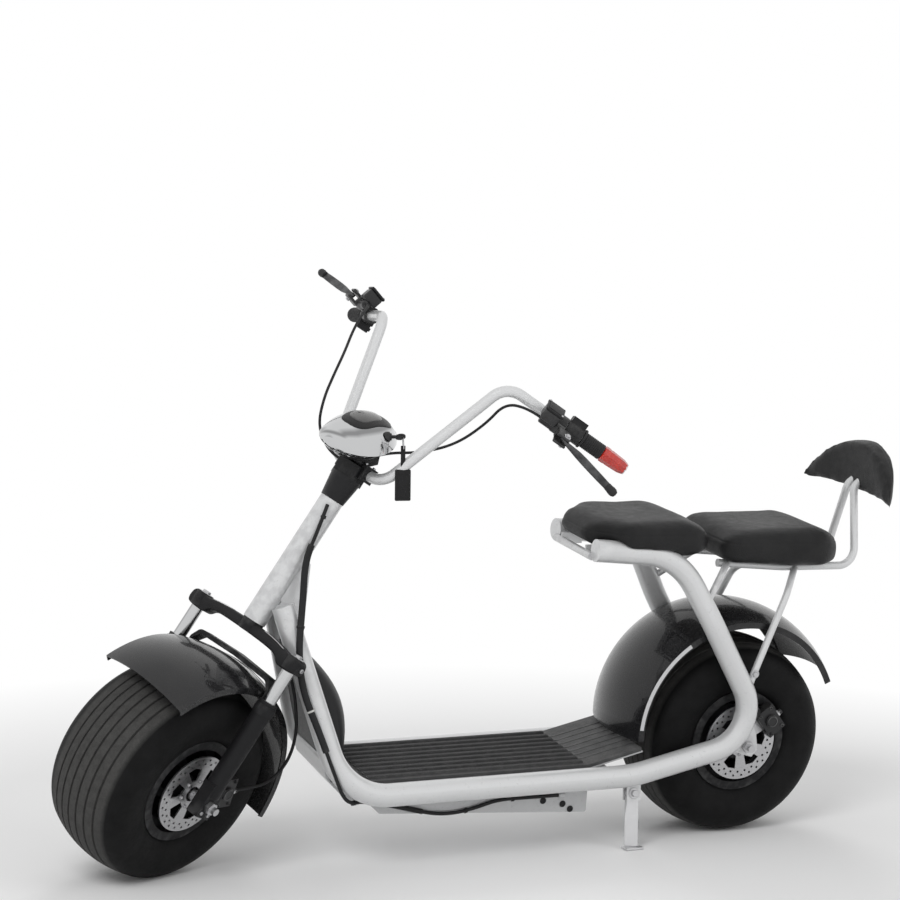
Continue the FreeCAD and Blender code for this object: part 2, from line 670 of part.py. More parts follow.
def fender(name, edge, crest, first, last, frame, centre=(0, 0)):
    """A wheel cover: an arched section with turned-in lips, swept round the wheel."""
    half, thick, lip = num("fender_half"), num("fender_thick"), num("fender_lip")

    def arch(half, edge, crest, foot):
        return [Part.Arc(Vector(edge, 0, half), Vector(crest, 0, 0), Vector(edge, 0, -half)).toShape(),
                Part.LineSegment(Vector(edge, 0, -half), Vector(foot, 0, -half)).toShape()], \
            Part.LineSegment(Vector(foot, 0, half), Vector(edge, 0, half)).toShape()

    foot = edge - lip
    (over, right), left = arch(half, edge, crest, foot)
    (under, inner_right), inner_left = arch(half - thick, edge - thick, crest - thick, foot)
    toes = [Part.LineSegment(Vector(foot, 0, s * half), Vector(foot, 0, s * (half - thick))).toShape() for s in (-1, 1)]
    wire = Part.Wire(Part.__sortEdges__([over, right, toes[0], inner_right, under, inner_left, toes[1], left]))
    face = shape(name + "_section", Part.Face(wire))
    cover = revolve(name, face, (0, 0, 1), last - first)
    local = Placement(vec(centre[0], 0, centre[1]), Rotation(Vector(1, 0, 0), -90))
    spin = Placement(Vector(), Rotation(Vector(0, 0, 1), -last))
    return node(cover, name, frame.multiply(local).multiply(spin))


fender("rear_fender", num("rear_edge"), num("rear_crest"), -2, 156, UPRIGHT, (12, 258))

# Axles with their spacers and nuts


def axle(name, seat, end, frame, centre=(0, 0, 0)):
    """A threaded axle: spacers between hub and seat, a nut on the outside of each seat."""
    half = seat + d.nut_high + d.axle_end
    bar = [rod(name + "_bar", d.axle_rad, half * 2, (0, -1 * half, 0), (0, 1, 0))]
    inner = {1: d.rotor_y + d.rotor_thick / 2 + d.play, -1: d.hub_half + d.play}
    for k in (1, -1):
        bar.append(rod("%s_spacer_%d" % (name, k), d.spacer_rad, end - d.play - inner[k],
                       (0, k * inner[k], 0), (0, k, 0)))
        nut = add("Part::Prism", "%s_nut_%d" % (name, k), Circumradius=d.nut_rad, Height=d.nut_high)
        nut.Polygon = 6
        nut.Placement = Placement(vec(0, k * (seat + d.play), 0), Rotation(Vector(0, 0, 1), Vector(0, k, 0)))
        bar.append(nut)
    return node(fuse(name, *bar), name, frame.multiply(Placement(vec(*centre), Rotation())))


drop_y = d.tube_y - 8
axle("rear_axle", drop_y + 4, drop_y - 4, UPRIGHT, (0, 0, d.axle_z))


def dropout(name, side):
    body = doc.addObject("PartDesign::Body", name)
    sketch = outline(body, name + "_outline", "XZ_Plane", [
        (30, 330), (4, 318), (-22, d.axle_z + 26), (-28, d.axle_z - 10), (-14, d.axle_z - 26), (30, d.axle_z - 12),
        (44, 262)], [(0, d.axle_z, d.axle_rad + d.fit)])
    pad = feature(body, "Pad", name + "_pad", sketch, Length=8)
    body.Tip = pad
    body.Placement = Placement(vec(0, drop_y * side + 4, 0), Rotation())
    return body


plates = [cut("dropout_" + s, dropout("dropout_plate_" + s, k), t)
          for s, k, t in (("left", 1, tube_room[0]), ("right", -1, tube_room[1]))]
node(group("dropouts", *plates), "dropouts")


GLAND = 12


def caliper(name, frame):
    """Brake caliper over the rotor's edge: the inner jaw fits inside the rim, the outer one carries a cap."""
    reach = d.rotor_rad - 10
    jaw = block(name + "_jaw", 60, 9, 40, (-30, -13, -18))
    room = rod(name + "_room", d.bead_rad - d.rim_wall - 5, 40, (0, -20, -1 * reach), (0, 1, 0))
    inner = common(name + "_inner", jaw, room)
    outer = block(name + "_outer", 66, 25, 46, (-33, -4, -18))
    slot = block(name + "_slot", 80, d.rotor_thick + 3, 18 + 11.5, (-40, -1 * (d.rotor_thick + 3) / 2, -18.5))
    cap = rod(name + "_cap", 15, 5, (0, 21, 6), (0, 1, 0))
    gland = rod(name + "_gland", 6, GLAND, (0, 14, 28))
    solid = fuse(name + "_body", cut(name + "_jaws", fuse(name + "_both", inner, outer), slot), cap, gland)
    return node(solid, name, frame)


rear_caliper_frame = Placement(vec(0, 0, d.axle_z), Rotation(Vector(0, 1, 0), -52)).multiply(
    Placement(vec(0, d.rotor_y, d.rotor_rad - 10), Rotation()))
caliper("rear_caliper", rear_caliper_frame)

# Side stand: bracket under the left tube, and the leg that reaches the ground
STAND = Vector(280, 131, 136)


def stand_foot():
    """The ground below the stand, a little ahead of its pivot and well outboard."""
    on_ground = STANCE.multVec(Vector(STAND.x + 8, STAND.y + 34, 0))
    return STANCE.inverse().multVec(Vector(on_ground.x, on_ground.y, 0))


FOOT_POINT = stand_foot()
reach = FOOT_POINT - STAND
SWING = Vector(0, 1, 0) - reach.normalize() * Vector(0, 1, 0).dot(Vector(reach).normalize())
SWING.normalize()
reach = FOOT_POINT - STAND
stand_turn = Rotation(SWING.cross(reach * -1), SWING, reach * -1, "ZYX")
STAND_FRAME = Placement(STAND, stand_turn)

leg_length = reach.Length
leg = block("stand_bar", d.stand_wide, d.stand_thick, leg_length - 4,
            (-1 * d.stand_wide / 2, -1 * d.stand_thick / 2, 4 - leg_length))
eye = rod("stand_eye", 15, d.stand_thick, (0, -1 * d.stand_thick / 2, 0), (0, 1, 0))
bore = rod("stand_bore", d.pin_rad + d.fit, 40, (0, -20, 0), (0, 1, 0))
ground = STANCE.Rotation.inverted().multVec(Vector(0, 0, 1))
local_up = stand_turn.inverted().multVec(ground)
pad_place = Placement(Vector(0, 0, -leg_length), Rotation(Vector(0, 0, 1), local_up))
foot_pad = block("stand_pad", 44, 30, 6, (-22, -9, 0))
foot_pad.Placement = pad_place.multiply(foot_pad.Placement)
stand = cut("side_stand", fuse("stand_leg", leg, eye, foot_pad), bore)
node(stand, "side_stand", STAND_FRAME)

# The stand's bracket, welded under the left tube: two cheeks, the pin and a stop over the leg
bracket = [rod("stand_pivot", d.pin_rad, 2 * (d.stand_thick / 2 + 5.5), (0, -1 * (d.stand_thick / 2 + 5.5), 0), (0, 1, 0))]
for k in (1, -1):
    middle = k * (float(d.stand_thick) / 2 + 2.5)
    bracket.append(block("stand_cheek_%d" % k, 34, 4, 60, (-17, middle - 2, -16)))
bracket.append(block("stand_stop", 34, d.stand_thick + 9, 4, (-17, -1 * (d.stand_thick + 9) / 2, 16)))
for piece in bracket:
    piece.Placement = STAND_FRAME.multiply(piece.Placement)
node(cut("stand_bracket", fuse("bracket_body", *bracket), tube_room[0]), "stand_bracket")

# Fork, in the fork frame

half, top = d.fork_half, d.crown_top
crown_points = [(0, 0, top), (0, 96, top - 6), (0, half + 4, top - 22), (0, half + 19, top - 32),
                (0, half + 19, top - 62), (0, half + 16, top - 78), (0, half - 20, top - 78),
                (0, half - 28, top - 60), (0, 92, top - 48), (0, 0, top - 42)]
ring = crown_points + [(x, -1 * y, z) for x, y, z in crown_points[-2:0:-1]]
crown_face = profile("crown_outline", ring, [60, 60, 8, 8, 6, 4, 4, 20, 60, 60, 60, 20, 4, 4, 6, 8, 8, 60])
crown_bar = extrude("crown_bar", crown_face, (1, 0, 0), d.crown_deep, True)
legs_hole = [rod("crown_hole_%d" % k, d.stanchion_rad + d.fit, 200, (0, k * num("fork_half"), 200), (0, 0, 1)) for k in (1, -1)]
steerer = rod("steerer", d.steerer_rad, d.head_top + 60 - d.crown_top + 20, (0, 0, d.crown_top - 20))
crown_seat = rod("crown_seat", d.head_rad - 1, d.head_low - d.play - d.crown_top + 10, (0, 0, d.crown_top - 10))
crown = cut("fork_crown", fuse("crown_body", crown_bar, crown_seat, steerer), fuse("crown_holes", *legs_hole))
node(crown, "fork_crown", STEERED)

stanchions = [rod("stanchion_%d" % k, d.stanchion_rad, d.crown_top - 24 - d.leg_top + 60,
                  (0, k * num("fork_half"), d.leg_top - 60)) for k in (1, -1)]
node(group("stanchions", *stanchions), "stanchions", STEERED)


def slider(k):
    """Lower fork leg: a long cup with a collar and an axle eye at its foot."""
    y = k * num("fork_half")
    body = rod("slider_body_%d" % k, d.leg_rad, d.leg_top - 20, (0, y, 20))
    eye = block("slider_eye_%d" % k, 44, 30, 74, (-22, y - 15, -28))
    collar = rod("slider_collar_%d" % k, d.leg_rad + 2, 22, (0, y, d.leg_top - 30))
    bore = rod("slider_bore_%d" % k, d.stanchion_rad + d.fit, 70, (0, y, d.leg_top - 60 - 0.1))
    axle = rod("slider_axle_%d" % k, d.axle_rad + d.fit, 80, (0, y - 40, 0), (0, 1, 0))
    return cut("slider_%d" % k, fuse("slider_solid_%d" % k, body, eye, collar), fuse("slider_cuts_%d" % k, bore, axle))


node(group("fork_legs", slider(1), slider(-1)), "fork_legs", STEERED)
axle("front_axle", d.fork_half + 15, d.fork_half - 15, STEERED)

fender("front_fender", num("fender_edge"), num("fender_crest"), 36, 178, STEERED)
front_caliper_frame = STEERED.multiply(Placement(Vector(), Rotation(Vector(0, 1, 0), -68))).multiply(
    Placement(vec(0, d.rotor_y, d.rotor_rad - 10), Rotation()))
caliper("front_caliper", front_caliper_frame)

# Arched strap from slider to slider over the fender
reach = d.fork_half - d.leg_rad - d.play
half_strap = [(0, d.fender_crest + 5), (104, d.fender_crest + 1), (reach - 4, d.fender_edge + 4), (reach - 4, d.leg_top - 22),
              (reach, d.leg_top - 22), (reach, d.fender_edge + 8), (110, d.fender_crest + 11), (0, d.fender_crest + 16)]
strap = [(-20, y, z) for y, z in half_strap + [(-1 * y, z) for y, z in half_strap[-2:0:-1]]]
strap_face = profile("strap_outline", strap, [90, 14, 6, 0, 0, 8, 16, 110, 16, 8, 0, 0, 6, 14])
strap_bar = extrude("strap_bar", strap_face, (1, 0, 0), 30, True)
collars = [rod("collar_room_%d" % k, d.leg_rad + 2 + d.play, 60, (0, k * num("fork_half"), d.leg_top - 60), (0, 0, 1))
           for k in (1, -1)]
node(cut("fender_brace", strap_bar, fuse("collar_room", *collars)), "fender_brace", STEERED)

# Wiring and hoses


def cord(name, points, radius):
    """A cord along its route, each bend as wide as the shorter run beside it allows."""
    points = [vec(*p) for p in points]
    radii = [0]
    for before, here, after in zip(points, points[1:], points[2:]):
        back, on = here - before, after - here
        radii.append(0.45 * min(back.Length, on.Length) / math.tan(back.getAngle(on) / 2))
    print("cord", name, "diameter", 2 * radius, "length %.0f" % sum((b - a).Length for a, b in zip(points, points[1:])),
          "radii", " ".join("%.0f" % r for r in radii[1:]))
    return pipe(name, [tuple(p) for p in points], radii + [0], radius)


node(cord("harness", [
    (base - 335, 28, 791), (base - 315, 34, 739), (base - 287, 40, 676), (base - 283, 50, 592), (base - 261, 100, 489),
    (base - 271, 115, 408), (base - 298, 142, 337), (base - 332, 162, 243), (base - 368, 140, 168),
    (base - 415, 120.5, 163), (base - 470, 119.3, 152), (base - 525, 119.3, 136), (base - 580, 119.3, 121),
    (base - 630, 119.3, 119), (base - 680, 119.3, 128), (base - 730, 119.3, 142), (528, 119.3, 141), (456, 119.3, 140.6)],
    4), "harness")
hose_end = front_caliper_frame.multVec(Vector(0, 14, 28 + GLAND))
hose_lead = front_caliper_frame.multVec(Vector(0, 14, 28 + GLAND + 38))
to_fork = STEERED.inverse()
crown_rear = -1 * float(d.crown_deep) / 2
node(cord("front_hose", [
    (crown_rear, 100, 328), (crown_rear - 27, 100, 328), (-80, 118, 296), (-118, 132, 255), (-152, 142, 212),
    (-174, 146, 165), (-178, 144, 122), (-172, 134, 84), tuple(to_fork.multVec(hose_lead)),
    tuple(to_fork.multVec(hose_end))], 3.5), "front_hose", STEERED)

# Steering stem cover, clamp and bars
stem = add("Part::Cone", "stem_cone", Radius1=d.head_rad + 1, Radius2=d.head_rad + 9, Height=58)
stem.Placement = Placement(vec(0, 0, d.head_top + d.play), Rotation())
clamp = block("bar_clamp", 46, 76, 34, (-36, -38, d.bar_low - 17))
neck_block = block("stem_block", 40, 60, 40, (-22, -30, d.head_top + 50))
stem_hole = rod("stem_hole", d.steerer_rad + d.fit, 120, (0, 0, d.head_top - 10))
bar_hole = rod("bar_hole", d.bar_rad + d.fit, 120, (-18, -60, d.bar_low), (0, 1, 0))
LEVEL = Placement(vec(49, 0, d.bar_low + 59), Rotation(Vector(0, 1, 0), num("rake")))
pod_post = block("pod_post", 54, 50, 36, (-58, -25, -70))
pod_post.Placement = LEVEL.multiply(pod_post.Placement)
node(cut("stem_clamp", fuse("stem_body", stem, clamp, neck_block, pod_post), fuse("stem_holes", stem_hole, bar_hole)),
     "stem_clamp", STEERED)

BEND, TIP = (-50, 184, d.bar_high), (-254, 415, d.bar_high - 11)
bar_path = [(-18, 0, d.bar_low), (-18, 74, d.bar_low), BEND, TIP]
bars = fuse("handlebar", pipe("bar_left", bar_path, [0, 48, 50, 0], d.bar_rad),
            pipe("bar_right", mirrored(bar_path), [0, 48, 50, 0], d.bar_rad))
node(bars, "handlebar", STEERED)


def on_bar(side, along, turn=0.0):
    """Frame on the outer run of a bar: Z outward, X ahead and turned down by an angle."""
    start, stop = vec(BEND[0], BEND[1] * side, BEND[2]), vec(TIP[0], TIP[1] * side, TIP[2])
    aim = (stop - start).normalize()
    ahead = Vector(abs(aim.y), -1 * side * aim.x, 0).normalize()
    place = Placement(start + aim * along, Rotation(ahead, aim.cross(ahead), aim, "ZXY"))
    return place.multiply(Placement(Vector(), Rotation(Vector(0, 0, 1), side * turn)))


def sleeve(name, radius, start, stop, side):
    """A round piece over the outer run of a bar."""
    outer = rod(name + "_out", radius, stop - start)
    inner = rod(name + "_in", d.bar_rad + d.fit, stop - start + 60, (0, 0, -30))
    piece = cut(name, outer, inner)
    piece.Placement = on_bar(side, float(start))
    return piece


def slab(name, ahead, up, along, side):
    """A block given by its limits ahead of the bar, above it and along it."""
    low, high = sorted((-1 * side * up[0], -1 * side * up[1]))
    return block(name, ahead[1] - ahead[0], high - low, along[1] - along[0], (ahead[0], low, along[0]))


node(group("grips", sleeve("grip_left", d.grip_rad, 193, 246, 1), sleeve("grip_right", d.grip_rad, 168, 312, -1)),
     "grips", STEERED)
node(sleeve("bar_end_lamp", d.grip_rad + 1, 246.5, 312, 1), "bar_end_lamp", STEERED)


def master(name, side):
    """Brake master cylinder: clamp, cylinder, reservoir and the fork for the lever."""
    solid = fuse(name + "_body", rod(name + "_clamp", 19, 24, (0, 0, 126)),
                 slab(name + "_cylinder", (14, 50), (-9, 9), (92, 150), side),
                 slab(name + "_box", (16, 50), (6, 38), (88, 126), side),
                 slab(name + "_ear", (40, 70), (-12, 12), (136, 166), side))
    tools = fuse(name + "_tools", rod(name + "_bore", d.bar_rad + d.fit, 60, (0, 0, 100)),
                 slab(name + "_slot", (46, 80), (-5.3, 5.3), (150, 180), side))
    return cut(name, solid, tools)


def lever(name, side):
    """Brake lever: a root in the master cylinder's fork, a knee and a long blade."""
    points = [(50, 151), (70, 151), (76, 186), (131, 290), (124, 296), (66, 202), (50, 172)]
    face = profile(name + "_side", [(x, 0, z) for x, z in points], [4, 4, 20, 4, 4, 20, 4])
    root = extrude(name + "_root", face, (0, 1, 0), 10, True)
    blade_face = profile(name + "_blade_side", [(x, 0, z) for x, z in [
        (70, 176), (76, 186), (131, 290), (124, 296), (66, 202), (62, 182)]], [3, 16, 4, 4, 20, 4])
    blade = extrude(name + "_blade", blade_face, (0, 1, 0), 19, True)
    return fuse(name, root, blade)


TURNS = {1: num("lever_left"), -1: num("lever_right")}
for label, maker in (("brake_masters", master), ("brake_levers", lever)):
    pair = []
    for side, word_side in ((1, "left"), (-1, "right")):
        piece = maker("%s_%s" % (label, word_side), side)
        piece.Placement = on_bar(side, 0, TURNS[side])
        pair.append(piece)
    node(group(label, *pair), label, STEERED)

post_rear = [LEVEL.multVec(Vector(-58 - reach, 20, -50)) for reach in (0, 36)]
runs = {1: [tuple(p) for p in post_rear] + [(-92, 60, 852), (-125, 104, 908), (-112, 150, 978), (-62, 196, 1032)],
        -1: [(4, -38, 750), (4, -72, 750), (34, -110, 782), (52, -124, 838), (44, -142, 894), (22, -168, 950),
             (2, -196, 1000), (-30, -224, 1046)]}
lines = []
for side, word_side in ((1, "left"), (-1, "right")):
    ends = [tuple(on_bar(side, along, TURNS[side]).multVec(Vector(32, 0, 0))) for along in (58, 92)]
    lines.append(cord("bar_cable_" + word_side, runs[side] + ends, 3))
node(group("bar_cables", *lines), "bar_cables", STEERED)

switches = []
for side, start, stop, ahead, up in ((1, 152, 191, (-14, 12), (0, 30)), (-1, 152, 166, (-16, 12), (-36, 0))):
    tag = "switch_left" if side == 1 else "switch_right"
    solid = fuse(tag + "_body", rod(tag + "_ring", d.grip_rad + 3, stop - start, (0, 0, start)),
                 slab(tag + "_box", ahead, up, (start + 2, stop - 2), side))
    piece = cut(tag, solid, rod(tag + "_bore", d.bar_rad + d.fit, 90, (0, 0, start - 20)))
    piece.Placement = on_bar(side, 0)
    switches.append(piece)
node(group("switch_boxes", *switches), "switch_boxes", STEERED)

# Headlight pod over the clamp
POD = STEERED.multiply(LEVEL)


# Sections from the nose to the tail: ahead, half width, top, bottom, height of the side crease
POD_SECTIONS = ((78, 24, 4, -16, -8), (70, 42, 16, -24, -10), (50, 62, 29, -31, -11), (20, 75, 40, -33.7, -12),
                (-10, 77, 44, -33.7, -12), (-45, 66, 38, -33, -13), (-80, 44, 20, -30, -16), (-108, 20, -4, -26, -19),
                (-116, 8, -14, -23, -20))


def pod_form():
    """Egg with a pointed tail and a crease along each side."""
    rings = []
    for x, half, top, low, crease in POD_SECTIONS:
        left, right = Vector(x, half, crease), Vector(x, -half, crease)
        rings.append(Part.Wire([Part.Arc(left, Vector(x, 0, top), right).toShape(),
                                Part.Arc(right, Vector(x, 0, low), left).toShape()]))
    return Part.makeLoft(rings, True, False)


egg = shape("pod_egg", pod_form())
play = num("play")
lens_gap = block("lens_gap", 110, 200, 14, (-8, -100, -27))
node(cut("headlight_shell", egg, lens_gap), "headlight_shell", POD)

# Clear band low round the nose, hollow for the lamps
lens_band = block("lens_band", 110, 200, 14 - 2 * play, (play - 8, -100, play - 27))
lens_room = block("lens_room", 60, 104, 20, (-10, -52, -30))
node(cut("headlight_lens", common("lens_full", egg, lens_band), lens_room), "headlight_lens", POD)

# Dark plate with the display on the pod's back
skin = [shape("pod_skin_%d" % i, pod_form().translated(Vector(0, 0, z))) for i, z in enumerate((2.2, play))]
plate_face = profile("plate_outline", [(46, -18, 0), (46, 18, 0), (18, 40, 0), (-40, 40, 0), (-94, 12, 0), (-94, -12, 0),
                                       (-40, -40, 0), (18, -40, 0)], [8, 8, 16, 20, 6, 6, 20, 16])
plate_stack = extrude("plate_stack", plate_face, (0, 0, 1), 80)
node(cut("display_panel", common("plate_skin", skin[0], plate_stack), skin[1]), "display_panel", POD)

# Ignition lock on the pod's left side with its key
KEY = Placement(Vector(-26, 52, 15), Rotation(Vector(0, 0, 1), Vector(-23, 15, 3)))
lock = [rod("lock_barrel", 11, 16, (0, 0, -6)), rod("lock_collar", 8, 5, (0, 0, 9)),
        block("key_blade", 9, 3, 13, (-4.5, -1.5, 13)), rod("key_bow", 11, 3, (0, -1.5, 34), (0, 1, 0))]
for piece in lock:
    piece.Placement = KEY.multiply(piece.Placement)
key_hole = rod("key_hole", 3, 20, (0, -10, 39), (0, 1, 0))
key_hole.Placement = KEY.multiply(key_hole.Placement)
node(cut("key_set", fuse("key_body", *lock), fuse("key_tools", egg, skin[0], key_hole)), "key_set", POD)
doc.recompute()


def check():
    """Stops when a feature failed or a piece isn't a sound solid."""
    for obj in doc.Objects:
        if {"Invalid", "Error"} & set(obj.State):
            sys.exit("failed: %s %s" % (obj.Name, obj.State))
    for piece, label, frame in NODES:
        if piece.Shape.isNull() or not piece.Shape.isValid() or piece.Shape.Volume <= 0:
            sys.exit("unsound piece: %s" % label)


check()
box = FreeCAD.BoundBox()
for piece, label, frame in NODES:
    local = piece.Placement
    piece.Placement = STANCE.multiply(frame).multiply(local)
    box.add(piece.Shape.optimalBoundingBox(False))
centre = Placement(Vector(-box.Center.x, -box.Center.y, 0), Rotation())
for piece, label, frame in NODES:
    piece.Placement = centre.multiply(piece.Placement)
doc.recompute()
check()
for piece, label, frame in NODES:
    piece.Shape.exportStep("parts/%s.step" % label)
print("box %.1f %.1f %.1f low %.2f" % (box.XLength, box.YLength, box.ZLength, box.ZMin))
print("pieces", len(NODES), "shift", centre.Base)
# Where the joints turn, in the frame of the exported pieces
world = centre.multiply(STANCE)
for name, place, point, aim in (("steer", FORK, vec(0, 0, d.head_low), Vector(0, 0, 1)),
                                ("front_wheel_spin", STEERED, Vector(), Vector(0, 1, 0)),
                                ("rear_wheel_spin", UPRIGHT, vec(0, 0, d.axle_z), Vector(0, 1, 0)),
                                ("side_stand_fold", UPRIGHT, STAND, SWING)):
    place = world.multiply(place)
    spot, way = place.multVec(point), place.Rotation.multVec(aim)
    print("joint %s pos %.3f %.3f %.3f axis %.6f %.6f %.6f" % ((name,) + tuple(spot) + tuple(way)))
# Where a stranger's parts go: the ends of the axles and the stand's foot
for name, place, point, aim in (
        ("front_axle_left", STEERED, vec(0, d.fork_half + 15 + d.play + d.nut_high + d.axle_end / 2, 0), Vector(0, 1, 0)),
        ("rear_axle_left", UPRIGHT, vec(0, drop_y + 4 + d.play + d.nut_high + d.axle_end / 2, d.axle_z), Vector(0, 1, 0)),
        ("stand_foot", UPRIGHT, FOOT_POINT, ground)):
    place = world.multiply(place)
    spot, way = place.multVec(point), place.Rotation.multVec(aim)
    print("mount %s pos %.3f %.3f %.3f axis %.6f %.6f %.6f" % ((name,) + tuple(spot) + tuple(way)))
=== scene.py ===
import json
import math

import bmesh
import bpy
from mathutils import Matrix, Vector, noise


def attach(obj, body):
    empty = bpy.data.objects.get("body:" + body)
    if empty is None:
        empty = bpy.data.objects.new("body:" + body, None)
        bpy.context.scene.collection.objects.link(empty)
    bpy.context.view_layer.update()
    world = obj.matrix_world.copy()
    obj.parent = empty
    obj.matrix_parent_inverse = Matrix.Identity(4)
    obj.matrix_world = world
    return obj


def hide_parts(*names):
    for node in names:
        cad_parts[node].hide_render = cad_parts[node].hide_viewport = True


# Electric chopper scooter on its side stand.  Pieces are drawn in millimetres in one of these
# frames and brought to the row frame: VEHICLE (origin under the rear axle, X ahead, Y left, Z up
# before it leans), FORK (origin on the front axle, Z up the steering axis, turned with the bars),
# POD (the headlight, level) and on_bar() for the controls.

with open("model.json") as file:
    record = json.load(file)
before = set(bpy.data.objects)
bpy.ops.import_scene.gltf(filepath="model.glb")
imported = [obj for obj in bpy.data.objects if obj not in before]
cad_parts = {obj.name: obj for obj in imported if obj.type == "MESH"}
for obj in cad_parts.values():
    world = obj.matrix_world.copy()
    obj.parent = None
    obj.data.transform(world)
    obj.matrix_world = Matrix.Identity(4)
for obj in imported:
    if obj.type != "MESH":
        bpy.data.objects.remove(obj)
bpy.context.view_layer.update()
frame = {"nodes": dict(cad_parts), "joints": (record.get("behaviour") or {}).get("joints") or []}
JOINTS = {j["name"]: j for j in frame["joints"]}
RAKE = math.radians(32)
AXLE_Z = 228


def from_mm(ahead, left, up, origin):
    """Takes millimetres along three directions to the row frame."""
    turn = Matrix((ahead, left, up)).transposed().to_4x4()
    turn.translation = origin
    return turn @ Matrix.Scale(0.001, 4)


def mid(a, b):
    return (Vector(a) + Vector(b)) / 2


ROW = Matrix.Identity(4)
LEFT = Vector(JOINTS["rear_wheel_spin"]["axis"]).normalized()
STEER = Vector(JOINTS["steer"]["axis"]).normalized()
SQUARE = LEFT.cross(STEER)
AHEAD = math.cos(RAKE) * SQUARE - math.sin(RAKE) * STEER
UP = math.sin(RAKE) * SQUARE + math.cos(RAKE) * STEER
REAR_AXLE = Vector(JOINTS["rear_wheel_spin"]["pos_m"])
FRONT_AXLE = Vector(JOINTS["front_wheel_spin"]["pos_m"])
TURNED = Vector(JOINTS["front_wheel_spin"]["axis"]).normalized()
VEHICLE = from_mm(AHEAD, LEFT, UP, REAR_AXLE - UP * AXLE_Z / 1000)
REAR_WHEEL = from_mm(AHEAD, LEFT, UP, REAR_AXLE)
FORK = from_mm(TURNED.cross(STEER), TURNED, STEER, FRONT_AXLE)
BAR_LOW = 752
BAR_BEND, BAR_TIP = (-50, 184, 1066), (-254, 415, 1055)
POD = FORK @ Matrix.Translation((49, 0, BAR_LOW + 59)) @ Matrix.Rotation(RAKE, 4, "Y")


def on_bar(side, along, turn=0.0):
    """Outer run of a bar: Z outward, X ahead and turned down by an angle, Y up on the right."""
    start, tip = (Vector((x, y * side, z)) for x, y, z in (BAR_BEND, BAR_TIP))
    aim = (tip - start).normalized()
    ahead = Vector((abs(aim.y), -side * aim.x, 0)).normalized()
    place = Matrix((ahead, aim.cross(ahead), aim)).transposed().to_4x4()
    place.translation = start + aim * along
    return FORK @ place @ Matrix.Rotation(math.radians(side * turn), 4, "Z")


# Finishes: effects that several of them share


def effect(name, inputs, outputs, build):
    """A node group; build receives its tree, its input sockets and its output node."""
    tree = bpy.data.node_groups.new(name, "ShaderNodeTree")
    for label, kind, value in inputs:
        socket = tree.interface.new_socket(label, in_out="INPUT", socket_type=kind)
        socket.default_value = value
    for label, kind in outputs:
        tree.interface.new_socket(label, in_out="OUTPUT", socket_type=kind)
    given = tree.nodes.new("NodeGroupInput")
    result = tree.nodes.new("NodeGroupOutput")
    build(Wiring(tree), given.outputs, result.inputs)
    return tree


class Wiring:
    """Adds nodes to a tree; a value is a number, a colour or another node's output."""

    def __init__(self, tree):
        self.tree = tree

    def join(self, socket, value):
        if isinstance(value, bpy.types.NodeSocket):
            self.tree.links.new(value, socket)
        else:
            socket.default_value = value

    def add(self, kind, inputs=(), **settings):
        node = self.tree.nodes.new("ShaderNode" + kind)
        for key, value in settings.items():
            setattr(node, key, value)
        for key, value in dict(inputs).items():
            self.join(node.inputs[key], value)
        return node

    def sum(self, operation, a, b):
        node = self.add("Math", operation=operation)
        self.join(node.inputs[0], a)
        self.join(node.inputs[1], b)
        return node.outputs[0]

    def noise(self, place, scale, detail=3.0):
        made = self.add("TexNoise", {"Vector": place, "Scale": scale, "Detail": detail, "Roughness": 0.55})
        return made.outputs["Fac"]

    def ramp(self, value, low, high, to_low=0.0, to_high=1.0):
        made = self.add("MapRange", {"Value": value, "From Min": low, "From Max": high,
                                     "To Min": to_low, "To Max": to_high})
        return made.outputs["Result"]

    def mix(self, share, one, other):
        made = self.add("Mix", data_type="RGBA")
        self.join(made.inputs["Factor"], share)
        self.join(made.inputs["A"], one)
        self.join(made.inputs["B"], other)
        return made.outputs["Result"]


def build_speckle(w, given, out):
    """Fine and coarse mottling between two levels."""
    fine = w.noise(given["Place"], given["Scale"], 4.0)
    coarse = w.noise(given["Place"], w.sum("MULTIPLY", given["Scale"], 0.13), 2.0)
    both = w.sum("ADD", w.sum("MULTIPLY", fine, 0.6), w.sum("MULTIPLY", coarse, 0.4))
    w.join(out["Level"], w.ramp(both, 0.35, 0.65, given["Low"], given["High"]))


def build_rub(w, given, out):
    """Paint rubbed along sharp edges, and a soft film of dust on faces that look up."""
    shape = w.add("NewGeometry")
    edge = w.ramp(shape.outputs["Pointiness"], 0.54, 0.62)
    patch = w.ramp(w.noise(given["Place"], 45.0), 0.42, 0.62)
    w.join(out["Edge"], w.sum("MULTIPLY", w.sum("MULTIPLY", edge, patch), given["Edge amount"]))
    up = w.add("SeparateXYZ", {"Vector": shape.outputs["Normal"]}).outputs["Z"]
    cloud = w.ramp(w.noise(given["Place"], 9.0, 5.0), 0.35, 0.75)
    settled = w.sum("MULTIPLY", w.ramp(up, 0.1, 1.0), cloud)
    w.join(out["Dust"], w.sum("MULTIPLY", settled, given["Dust amount"]))


def build_hide(w, given, out):
    """Pebbled leather: cells with soft valleys, over a slow swell."""
    bent = w.add("VectorMath", {0: given["Place"]}, operation="MULTIPLY_ADD")
    wave = w.add("TexNoise", {"Vector": given["Place"], "Scale": 160.0})
    bent.inputs[1].default_value = (1, 1, 1)
    drift = w.add("VectorMath", {0: wave.outputs["Color"], "Scale": 0.0016}, operation="SCALE")
    w.join(bent.inputs[2], drift.outputs[0])
    cells = w.add("TexVoronoi", {"Vector": bent.outputs[0], "Scale": given["Scale"]}, feature="SMOOTH_F1")
    slow = w.sum("MULTIPLY", w.noise(given["Place"], 22.0), 0.8)
    w.join(out["Height"], w.sum("ADD", w.ramp(cells.outputs["Distance"], 0.1, 0.75), slow))


